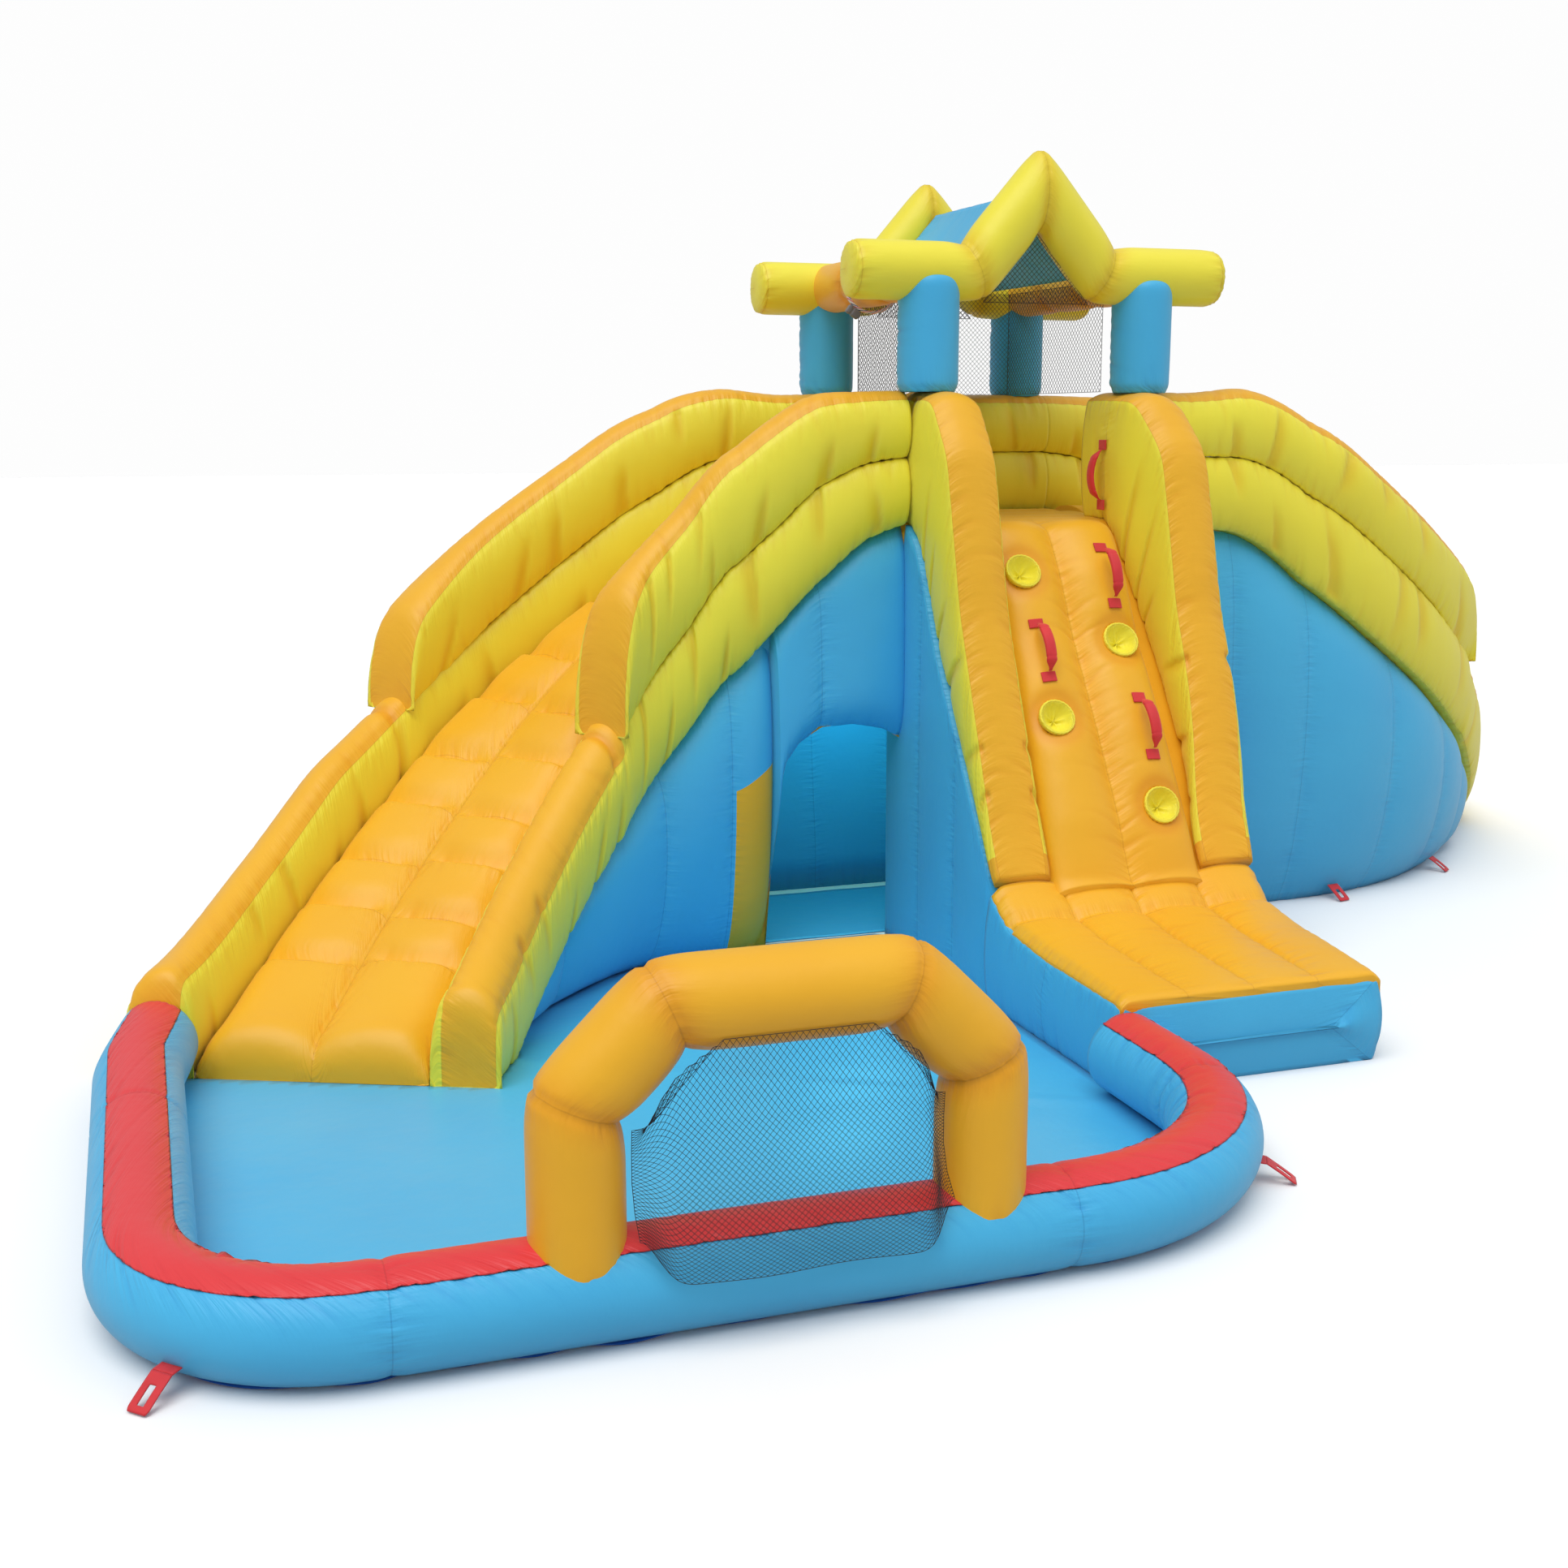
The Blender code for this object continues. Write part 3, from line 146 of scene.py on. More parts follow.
def coated_cloth(name, colour, shade, gloss=0.36, thread=None):
    """Coated cloth: fine weave, soft folds, puckers, a stitch line at each sewn seam, and painted
    shade in its creases.
    """
    material, nodes, links, shader = blank_material(name)

    def node(kind, **values):
        made = nodes.new("ShaderNode" + kind)
        for key, value in values.items():
            if key in ("operation", "data_type", "blend_type", "attribute_name", "uv_map"):
                setattr(made, key, value)
            else:
                made.inputs[key.replace("_", " ")].default_value = value
        return made

    def math_node(operation, a, b):
        made = nodes.new("ShaderNodeMath")
        made.operation = operation
        for socket, value in zip(made.inputs, (a, b)):
            if isinstance(value, (int, float)):
                socket.default_value = value
            else:
                links.new(value, socket)
        return made.outputs[0]

    def near_seam(attribute, reach):
        read = node("Attribute", attribute_name=attribute)
        share = math_node("DIVIDE", read.outputs["Fac"], reach)
        return math_node("POWER", 2.718, math_node("MULTIPLY", share, -1.0)), read.outputs["Fac"]

    flat = node("UVMap", uv_map="cloth")
    place = node("TexCoord")
    height = 0.0
    for attribute, scale in (("long_seam", (9, 60, 1)), ("cross_seam", (60, 9, 1))):
        stretched = node("Mapping", Scale=scale)
        links.new(flat.outputs[0], stretched.inputs["Vector"])
        pleats = node("TexNoise", Scale=1.0, Detail=2.0, Roughness=0.5)
        links.new(stretched.outputs[0], pleats.inputs["Vector"])
        close, distance = near_seam(attribute, 0.035)
        height = math_node("ADD", height, math_node("MULTIPLY", pleats.outputs["Fac"],
                                                    math_node("MULTIPLY", close, 0.010)))
        stitch = math_node("LESS_THAN", distance, 0.0016)
        if attribute == "long_seam":
            stitches = stitch
        else:
            stitches = math_node("MAXIMUM", stitches, stitch)
    folds = node("TexNoise", Scale=7.0, Detail=3.0, Roughness=0.55)
    links.new(place.outputs["Object"], folds.inputs["Vector"])
    height = math_node("ADD", height, math_node("MULTIPLY", folds.outputs["Fac"], 0.006))
    for turn in ((1, 0.02, 0), (0.02, 1, 0)):
        threads = node("Mapping", Scale=turn)
        links.new(flat.outputs[0], threads.inputs["Vector"])
        weave = node("TexWave", Scale=260.0)
        links.new(threads.outputs[0], weave.inputs["Vector"])
        height = math_node("ADD", height, math_node("MULTIPLY", weave.outputs["Fac"], 0.00006))
    bump = node("Bump", Strength=0.55, Distance=1.0)
    links.new(height, bump.inputs["Height"])
    links.new(bump.outputs[0], shader.inputs["Normal"])

    tint = node("Mix", data_type="RGBA")
    tint.inputs["A"].default_value = (*linear(*colour), 1)
    tint.inputs["B"].default_value = (*linear(*shade), 1)
    sunk = node("Attribute", attribute_name="sunk")
    cloud = node("TexNoise", Scale=2.2, Detail=2.0)
    links.new(place.outputs["Object"], cloud.inputs["Vector"])
    # The cloth's own uneven tone from a large noise, plus painted shade: the colour goes towards the
    # shade colour where the cloth sinks into creases and puckers.
    tone_and_crease_shade = math_node("MULTIPLY", math_node("SUBTRACT", cloud.outputs["Fac"], 0.35), 0.45)
    tone_and_crease_shade = math_node("ADD", tone_and_crease_shade, math_node("MULTIPLY", sunk.outputs["Fac"], 0.55))
    tone_and_crease_shade.node.use_clamp = True
    links.new(tone_and_crease_shade, tint.inputs["Factor"])
    sewn = node("Mix", data_type="RGBA")
    sewn.inputs["B"].default_value = (*linear(*(thread or [c * 0.86 for c in shade])), 1)
    links.new(tint.outputs["Result"], sewn.inputs["A"])
    links.new(math_node("MULTIPLY", stitches, 0.35), sewn.inputs["Factor"])
    links.new(sewn.outputs["Result"], shader.inputs["Base Color"])
    rough = math_node("ADD", gloss, math_node("MULTIPLY", folds.outputs["Fac"], 0.10))
    links.new(rough, shader.inputs["Roughness"])
    shader.inputs["Specular IOR Level"].default_value = 0.42
    shader.inputs["Sheen Weight"].default_value = 0.08
    return material


orange_cloth = coated_cloth("orange_coated_cloth", (242, 181, 34), (228, 148, 10))
yellow_cloth = coated_cloth("yellow_coated_cloth", (246, 234, 66), (230, 190, 26))
blue_cloth = coated_cloth("blue_coated_cloth", (72, 184, 232), (38, 142, 212))


def route(run):
    """Plan points and outward directions at distances along the left chute's centre line."""
    run = np.asarray(run, float)
    lead, tower_half = 0.614, 0.467
    step = np.minimum(run, lead)
    x, y, left = -tower_half - step, np.zeros_like(run), run - step
    heading = np.full_like(run, math.pi / 2)
    for radius, degrees in ((1.09, 40.0), (2.70, 25.5)):
        step = np.clip(left, 0, radius * math.radians(degrees))
        turned = heading - step / radius
        x = x + radius * (np.cos(heading) - np.cos(turned))
        y = y + radius * (np.sin(turned) - np.sin(heading))
        heading, left = turned, left - step
    past = np.maximum(left, 0)
    x, y = x - past * np.sin(heading), y - past * np.cos(heading)
    return np.stack([x, y], -1), np.stack([-np.cos(heading), np.sin(heading)], -1)


def beside(run, offset, z):
    """Points beside the chute's centre line, for rows of runs and a row of sections each."""
    offset, z = np.asarray(offset, float), np.asarray(z, float)
    centre, out = route(run)
    plan = centre[:, None, :] + out[:, None, :] * offset[..., None]
    return np.concatenate([plan, np.broadcast_to(z, offset.shape)[..., None]], -1)


DECK_Z = 1.45
CHUTE_RUN = 2.60
BED_HALF = 0.33
fine_runs = np.linspace(-0.3, 2.9, 641)
fine_shares = np.interp(fine_runs / CHUTE_RUN,
                        (0.0, .135, .19, .27, .385, .5, .615, .73, .845, .94, 1.0),
                        (1.0, .993, .955, .872, .717, .566, .42, .293, .183, .107, .083))
fine_heights = DECK_Z * np.convolve(np.pad(fine_shares, 12, "edge"), np.ones(25) / 25, "valid")


def bed_z(run):
    """Height of the bed's crown line along the chute."""
    return np.interp(run, fine_runs, fine_heights)


def creases(along, away, seed, gap=0.05, depth=0.004, reach=0.07, width=0.008):
    """Depth of the puckers that run square to a sewn seam and fade away from it."""
    dice = np.random.default_rng(seed)
    low, high = along.min(), along.max()
    sunk = np.zeros_like(along)
    for place in np.arange(low, high, gap):
        place += dice.uniform(-0.45, 0.45) * gap
        sink, far = depth * dice.uniform(0.2, 1.0), reach * dice.uniform(0.35, 1.3)
        wide, slant = width * dice.uniform(0.7, 1.5), dice.uniform(-0.3, 0.3)
        sunk += sink * np.exp(-((along - place - slant * away) / wide) ** 2 - (away / far) ** 2)
    return sunk


def grid_normals(points, closed):
    """Unit normals of a grid of points, by the slopes along its rows and columns."""
    down = np.gradient(points, axis=0)
    if closed:
        across = np.roll(points, -1, 1) - np.roll(points, 1, 1)
    else:
        across = np.gradient(points, axis=1)
    normal = np.cross(down, across)
    normal /= np.maximum(np.linalg.norm(normal, axis=-1, keepdims=True), 1e-9)
    if closed:
        outward = points - points.mean(axis=1, keepdims=True)
        if (normal * outward).sum() < 0:
            normal = -normal
    return normal


def skin(name, points, cloths, paint=None, long_seams=(), cross_seams=(), closed=True, seed=1,
         pucker=1.0, sink=None, up=None, gap=0.05, reach=0.07, sewn=True):
    """Cloth over a grid of points: a closed tube with filled ends, or an open sheet.

    The rows run along the piece and the columns round it. Seams are rows or columns; the
    puckers beside them are pressed in. sink adds a depth of its own at each point.
    """
    points = np.array(points, float)
    rows, cols = points.shape[:2]
    loop = np.concatenate([points, points[:, :1]], 1) if closed else points
    steps = np.linalg.norm(np.diff(loop, axis=1), axis=-1)
    u = np.concatenate([np.zeros((rows, 1)), np.cumsum(steps, 1)], 1)
    v = np.concatenate([np.zeros((1, cols)),
                        np.cumsum(np.linalg.norm(np.diff(points, axis=0), axis=-1), 0)], 0)
    v = np.concatenate([v, v[:, :1]], 1) if closed else v
    here_u, here_v = (u[:, :-1], v[:, :-1]) if closed else (u, v)
    total = u[:, -1:]
    long_gap = np.full((rows, cols), 9.0)
    cross_gap = np.full((rows, cols), 9.0)
    sunk = np.zeros((rows, cols))
    for k, c in enumerate(long_seams):
        away = np.abs(here_u - here_u[:, c:c + 1])
        if closed:
            away = np.minimum(away, total - away)
        long_gap = np.minimum(long_gap, away)
        if sewn:
            sunk += creases(here_v, away, seed * 31 + k, gap=gap, depth=0.0042 * pucker,
                            reach=reach)
    for k, r in enumerate(cross_seams):
        away = np.abs(here_v - here_v[r:r + 1])
        cross_gap = np.minimum(cross_gap, away)
        if sewn:
            sunk += creases(here_u, away, seed * 37 + 100 + k, gap=gap, depth=0.0035 * pucker,
                            reach=reach * 0.8)
    if sink is not None:
        sunk = sunk + sink
    normal = grid_normals(points, closed)
    if up is not None and (normal * np.asarray(up)).sum() < 0:
        normal = -normal
    points = points - normal * sunk[..., None]

    bm = bmesh.new()
    if closed:
        bmesh.ops.create_circle(bm, segments=cols, radius=1)
        bmesh.ops.spin(bm, geom=bm.verts[:] + bm.edges[:], cent=(0, 0, 0), axis=(0, 0, 1),
                       dvec=(0, 0, 1), angle=0, steps=rows - 1)
        bmesh.ops.edgeloop_fill(bm, edges=[e for e in bm.edges if e.is_boundary])
    else:
        bmesh.ops.create_grid(bm, x_segments=cols - 1, y_segments=rows - 1, size=1)
    mesh = bpy.data.meshes.new(name)
    bm.to_mesh(mesh)
    bm.free()
    unit = np.empty(len(mesh.vertices) * 3)
    mesh.vertices.foreach_get("co", unit)
    unit = unit.reshape(-1, 3)
    if closed:
        row = np.rint(unit[:, 2]).astype(int)
        col = np.rint(np.arctan2(-unit[:, 0], unit[:, 1]) / math.tau * cols).astype(int) % cols
    else:
        row = np.rint((unit[:, 1] + 1) / 2 * (rows - 1)).astype(int)
        col = np.rint((unit[:, 0] + 1) / 2 * (cols - 1)).astype(int)
    mesh.vertices.foreach_set("co", points[row, col].ravel())
    # The crease depth also goes out as the sunk attribute; the cloth material paints shade into the
    # creases from it.
    for label, values in (("long_seam", long_gap), ("cross_seam", cross_gap),
                          ("sunk", np.clip(sunk / 0.007, 0, 1))):
        mesh.attributes.new(label, "FLOAT", "POINT").data.foreach_set(
            "value", values[row, col].astype(np.float32))
    corner = np.empty(len(mesh.loops), int)
    mesh.loops.foreach_get("vertex_index", corner)
    starts = np.empty(len(mesh.polygons), int)
    sizes = np.empty(len(mesh.polygons), int)
    mesh.polygons.foreach_get("loop_start", starts)
    mesh.polygons.foreach_get("loop_total", sizes)
    face = np.repeat(np.arange(len(starts)), sizes)
    loop_row, loop_col = row[corner], col[corner]
    first = np.minimum.reduceat(loop_col, starts)
    last = np.maximum.reduceat(loop_col, starts)
    wraps = (last - first > cols / 2) & (sizes == 4)
    loop_col = np.where(wraps[face] & (loop_col == 0), cols, loop_col)
    flat = np.stack([u[loop_row, loop_col], v[loop_row, loop_col]], -1)
    mesh.uv_layers.new(name="cloth").data.foreach_set("uv", flat.ravel().astype(np.float32))
    if paint is not None:
        face_row = np.minimum.reduceat(loop_row, starts)
        face_col = np.where(wraps, cols - 1, first)
        chosen = np.where(sizes == 4, paint(face_row, face_col), 0)
        chosen = np.where((sizes != 4), paint(face_row, face_col * 0 + (cols - 1)), chosen)
        mesh.polygons.foreach_set("material_index", chosen.astype(np.int32))
    for cloth in cloths:
        mesh.materials.append(cloth)
    mesh.update()
    centre, out = np.empty(len(starts) * 3), np.empty(len(starts) * 3)
    area = np.empty(len(starts))
    mesh.polygons.foreach_get("center", centre)
    mesh.polygons.foreach_get("normal", out)
    mesh.polygons.foreach_get("area", area)
    centre, out = centre.reshape(-1, 3), out.reshape(-1, 3)
    middle = points.reshape(-1, 3).mean(0)
    if closed and (((centre - middle) * out).sum(1) * area).sum() < 0:
        mesh.flip_normals()
    if up is not None and not closed and (out @ np.asarray(up, float) * area).sum() < 0:
        mesh.flip_normals()
    mesh.shade_smooth()
    return placed(name, mesh)


def blown(piece, slot, *stands_for, body="slide_body", fill=0.95):
    """A blown chamber that stands for CAD nodes and rides on the slide."""
    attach(piece, body)
    if stands_for:
        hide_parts(*stands_for)
    return piece


def rounded_end(start, end, pitch, soft=0.07, power=2.6, rows=12):
    """Rows along a piece that end in a rounded drop: their places and their share of height."""
    body = np.arange(start, end - soft - 0.4 * pitch, pitch)
    turn = np.linspace(0, math.pi / 2, rows)
    places = end - soft + soft * np.sin(turn) ** (2 / power)
    share = np.maximum(np.cos(turn) ** (2 / power), 0.02)
    return np.concatenate([body, places]), np.concatenate([np.ones(len(body)), share])


def bell(values, middle, width, power=2):
    """A soft hump: one at the middle and fading on both sides of it."""
    return np.exp(-((values - middle) / width) ** power)


def eased(share):
    """A share from 0 to 1 that starts and stops softly."""
    return share * share * (3 - 2 * share)


def lattice(x, y, z):
    """A grid of points from coordinates that repeat along its rows or columns."""
    return np.stack(np.broadcast_arrays(x, y, z), -1)


def turned(points, twin):
    """The right chute is the left one turned half round the tower."""
    return points * np.array([-1.0, -1.0, 1.0]) if twin else points


bed_runs, bed_share = rounded_end(0.002, CHUTE_RUN + 0.012, 0.008, soft=0.09, power=2.3, rows=14)
bed_seams = (0.62, 0.82, 1.02, 1.22, 1.42, 1.62, 1.82, 2.02, 2.21)
top = np.linspace(-1, 1, 73)
mat_offsets = np.concatenate([top, [1.0, 0.9, 0.3, -0.3, -0.9, -1.0]]) * (BED_HALF - 0.001)
for side_name, twin in (("left", False), ("right", True)):
    z = bed_z(bed_runs)[:, None]
    chamber = np.abs(np.sin(math.pi * top))[None, :]
    bow = 0.035 * np.sin(math.pi * np.abs(top))
    dip = np.zeros((len(bed_runs), len(top)))
    for k, seam in enumerate(bed_seams):
        shift = np.where(top < 0, 0.02, -0.02) * (1 if k % 2 else -1) * 0.6
        nearest = bed_runs[:, None] - seam - bow[None, :] * 0.9 - shift[None, :]
        dip += 0.034 * bell(nearest, 0, np.where(nearest < 0, 0.040, 0.016))
    crown = -0.034 - 0.045 * np.clip((np.abs(top) - 0.72) / 0.28, 0, 1)[None, :] ** 2 \
        + 0.052 * chamber ** 0.55 - dip * np.minimum(chamber * 1.6, 1.0)
    share = bed_share[:, None]
    low = np.maximum(z - 0.12, 0.0)
    surface = low + (z + crown - low) * share
    under = np.repeat(low, 6, axis=1) + np.zeros((1, 6))
    under[:, 0], under[:, 5] = surface[:, -1] - 0.01 * share[:, 0], surface[:, 0] - 0.01 * share[:, 0]
    under = np.maximum(under, 0.0)
    points = turned(beside(bed_runs, np.broadcast_to(mat_offsets, (len(bed_runs), 79)),
                           np.concatenate([surface, under], 1)), twin)
    seam_rows = [int(np.argmin(np.abs(bed_runs - s - 0.03))) for s in bed_seams]
    bed = skin(f"{side_name}_chute_bed_cloth", points, [orange_cloth], long_seams=(0, 36, 72),
               cross_seams=seam_rows, seed=3 + twin, pucker=0.9, gap=0.045, reach=0.06)
    blown(bed, "orange_cloth", f"{side_name}_slide_bed")

# --- Chute side walls -------------------------------------------------------------------------
# Two blown tubes stacked on each side of a chute: yellow sides with an orange panel let in along
# the top. The upper one ends in a step halfway down, and the orange panel turns down over it.


def pillow(corners, bows, counts):
    """Section of a blown tube: bowed panels between sewn corners, with points close to them."""
    points, seams = [], []
    for (a, b), (c, d), bow, count in zip(corners, corners[1:] + corners[:1], bows, counts):
        even = np.arange(count) / count
        t = 0.5 * even + 0.25 * (1 - np.cos(math.pi * even))
        out = np.array([d - b, a - c]) / max(math.hypot(c - a, d - b), 1e-9)
        seams.append(sum(len(p) for p in points))
        rise = bow * (4 * t * (1 - t)) ** 0.62
        points.append(np.column_stack([a + (c - a) * t, b + (d - b) * t]) + out * rise[:, None])
    return np.concatenate(points), seams


PANEL_COUNTS = (6, 17, 13, 17)
upper_section, wall_seams = pillow([(-.62, -1), (.62, -1), (.64, .72), (-.64, .72)],
                                   (0, .37, .28, .37), PANEL_COUNTS)
end_section, _ = pillow([(-.62, -1), (.62, -1), (.90, .74), (-.86, .74)],
                        (0, .24, .26, .26), PANEL_COUNTS)
stacked_section, _ = pillow([(-.55, -1), (.55, -1), (.60, .99), (-.60, .99)],
                            (0, .43, .01, .43), PANEL_COUNTS)
single_section, _ = pillow([(-.72, -1), (.72, -1), (.86, .48), (-.64, .80)],
                           (0, .22, .38, .30), PANEL_COUNTS)
STEP_RUN = 1.4444
FIRST_RUN = 0.0005
BACK_START = -0.934  # the left chute's outer wall also runs along the tower's back
WALL_MIDDLE, WALL_HALF = 0.43, 0.10
# Heights above the bed at places along the run: lower edge, seam, top. Past the step the seam
# line is the top of the one tube that goes on.
INNER_LINES = np.array([
    (0, -.003, .215, .43), (.146, -.05, .20, .43), (.289, -.17, .14, .43),
    (.434, -.28, .045, .39), (.577, -.355, -.005, .355), (.866, -.344, -.01, .366),
    (1.154, -.286, .05, .434), (1.3, -.26, .086, .464), (1.444, -.235, .12, .43),
    (1.586, -.22, .13, .43), (2.6, -.20, .14, .43)])
OUTER_LINES = np.array([
    (0, -.02, .215, .43), (.146, -.03, .215, .43), (.289, -.041, .215, .449),
    (.434, -.06, .219, .475), (.577, -.09, .215, .495), (.723, -.129, .196, .495),
    (.866, -.155, .17, .471), (1.154, -.18, .129, .445), (1.3, -.19, .12, .42),
    (1.444, -.20, .14, .37), (1.734, -.20, .174, .37), (2.02, -.20, .14, .37),
    (2.31, -.20, .14, .37), (2.6, -.20, .17, .37)])


def wall_lines(runs, outer, twin):
    """Heights of a side wall's lower edge, seam and top at distances along the chute."""
    table = OUTER_LINES if outer else INNER_LINES
    places = np.arange(-1.2, 3.0, 0.01)
    kernel = np.hanning(17)[1:-1]
    found = []
    for k in (1, 2, 3):
        rough = np.interp(places, table[:, 0], table[:, k])
        if outer and k == 3:
            rough += (-0.02 if twin else 0.02) * bell(places, 0.85, 0.4, 4)
        soft = np.convolve(np.pad(rough, 7, "edge"), kernel / kernel.sum(), "valid")
        found.append(bed_z(runs) + np.interp(runs, places, soft))
    return np.maximum(found[0], 0.0), found[1], found[2]


def darts(run, height_share, seed, pitch=0.19, depth=0.010):
    """Short sewn darts and slack folds that cross a wall tube at uneven places."""
    dice = np.random.default_rng(seed)
    sunk = np.zeros_like(height_share)
    for place in np.arange(run.min() + 0.1, run.max() - 0.05, pitch):
        place += dice.uniform(-0.05, 0.05)
        from_top = dice.random() < 0.5
        reach = dice.uniform(0.35, 0.8)
        away = 1 - height_share if from_top else height_share
        slant = dice.uniform(-0.07, 0.07)
        gone = run[:, None] - place - slant * height_share
        line = bell(gone, 0, np.where(gone < 0, 0.006, 0.030))
        sunk += depth * dice.uniform(0.6, 1.2) * line * bell(away, 0, reach, 4)
    return sunk


for side_name, twin in (("left", False), ("right", True)):
    for wall_name, side in (("inner", -1), ("outer", 1)):
        start = BACK_START if (wall_name == "outer" and not twin) else FIRST_RUN
        seed = 11 + 4 * twin + (side > 0)
        runs, share = rounded_end(start, STEP_RUN - 0.015, 0.009, soft=0.095, power=2.5, rows=18)
        _, low, top_z = wall_lines(runs, side > 0, twin)
        near_end = np.clip((runs - 1.10) / 0.27, 0, 1)[:, None]
        near_end = eased(near_end)
        low = low - 0.035 * near_end[:, 0]
        section = upper_section[None] * (1 - near_end[..., None]) \
            + end_section[None] * near_end[..., None]
        height = (section[..., 1] + 1) / 2 * share[:, None]
        offsets = side * (WALL_MIDDLE + WALL_HALF * section[..., 0])
        points = turned(beside(runs, offsets, low[:, None] + (top_z - low)[:, None] * height),
                        twin)
        top_panel = (wall_seams[2], wall_seams[3])
        sink = darts(runs, height, seed * 7) * (np.abs(section[..., 0]) > 0.7)
        wall = skin(f"{side_name}_chute_{wall_name}_upper_tube", points,
                    [yellow_cloth, orange_cloth],
                    paint=lambda r, c: ((c >= top_panel[0]) & (c < top_panel[1])).astype(int),
                    long_seams=wall_seams, seed=seed, sink=sink, gap=0.042)
        blown(wall, "yellow_cloth", f"{side_name}_slide_{wall_name}_wall_upper")

        runs, share = rounded_end(start, CHUTE_RUN + 0.012, 0.009, soft=0.08, power=3.2, rows=16)
        past = np.clip((runs - STEP_RUN + 0.08) / 0.07, 0, 1)[:, None]
        blend_in = eased(past)
        section = stacked_section[None] * (1 - blend_in[..., None]) \
            + single_section[None] * blend_in[..., None]
        low, high, _ = wall_lines(runs, side > 0, twin)
        height = (section[..., 1] + 1) / 2 * share[:, None]
        offsets = side * (WALL_MIDDLE + WALL_HALF * section[..., 0])
        points = turned(beside(runs, offsets, low[:, None] + (high - low)[:, None] * height), twin)
        sink = darts(runs, height, seed * 7 + 1) * (np.abs(section[..., 0]) > 0.7)
        step_row = int(np.argmin(np.abs(runs - STEP_RUN)))
        fold = 0.010 * bell(runs - STEP_RUN, 0.035, 0.016)[:, None]
        sink = sink + fold * ((np.arange(53) >= wall_seams[2])[None, :])
        wall = skin(f"{side_name}_chute_{wall_name}_lower_tube", points,
                    [yellow_cloth, orange_cloth],
                    paint=lambda r, c: ((c >= top_panel[0]) & (c < top_panel[1])
                                        & (r >= step_row - 2)).astype(int),
                    long_seams=wall_seams, seed=seed + 50, sink=sink, gap=0.042)
        blown(wall, "yellow_cloth", f"{side_name}_slide_{wall_name}_wall_lower")

# --- Skirts, tunnel walls and tunnel floor ------------------------------------------------------
# Blue blown panels stand under the side walls down to the ground, with upright sewn seams between
# their lobes. A round-headed crawl hole leads through the inner one under the deck.
JAMB_RUN, JAMB_WIDE = 0.455, 0.145
ARCH_HEAD = ((0, .07, .18, .29, .37, .42, .44, .455), (.723, .763, .785, .778, .73, .664, .586, .40))
SKIRT_END = 2.1667


def skirt_points(runs, start_low, high, seams, lobe=0.024):
    """Section of a skirt for each run: outer face, top, inner face and foot."""
    high = np.maximum(high - 0.003, start_low + 0.02)
    t = np.concatenate([np.linspace(0, 1, 34), np.linspace(1, 0, 12)])
    outer = np.arange(46) < 34
    z = start_low[:, None] + (high - start_low)[:, None] * t[None, :]
    share = z / high[:, None]
    bow = 0.07 * (1 - (2 * share - 1) ** 2) * np.minimum(2 * high / DECK_Z, 1)[:, None]
    round_off = 0.05 * np.abs(2 * t - 1) ** 7 * 0.9
    face = 0.43 + 0.06 * share + bow - round_off[None, :]
    between = np.ones(len(runs))
    for a, b in zip(seams, seams[1:]):
        inside = (runs >= a) & (runs <= b)
        between[inside] = np.abs(np.sin(math.pi * (runs[inside] - a) / (b - a))) ** 0.5
    lobes = lobe * (between - 1)[:, None] * np.sin(math.pi * np.clip(share, 0, 1)) ** 0.4
    offset = np.where(outer[None, :], face + lobes, face - 0.10 + 2 * round_off[None, :])
    return offset, z


def single_sheet(piece, node=None, body="slide_body", thickness=0.002,
                 offset=-1):
    """One layer of cloth or webbing: its thickness and its body."""
    solid = piece.modifiers.new("thickness", "SOLIDIFY")
    solid.thickness, solid.offset = thickness, offset
    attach(piece, body)
    if node:
        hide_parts(node)


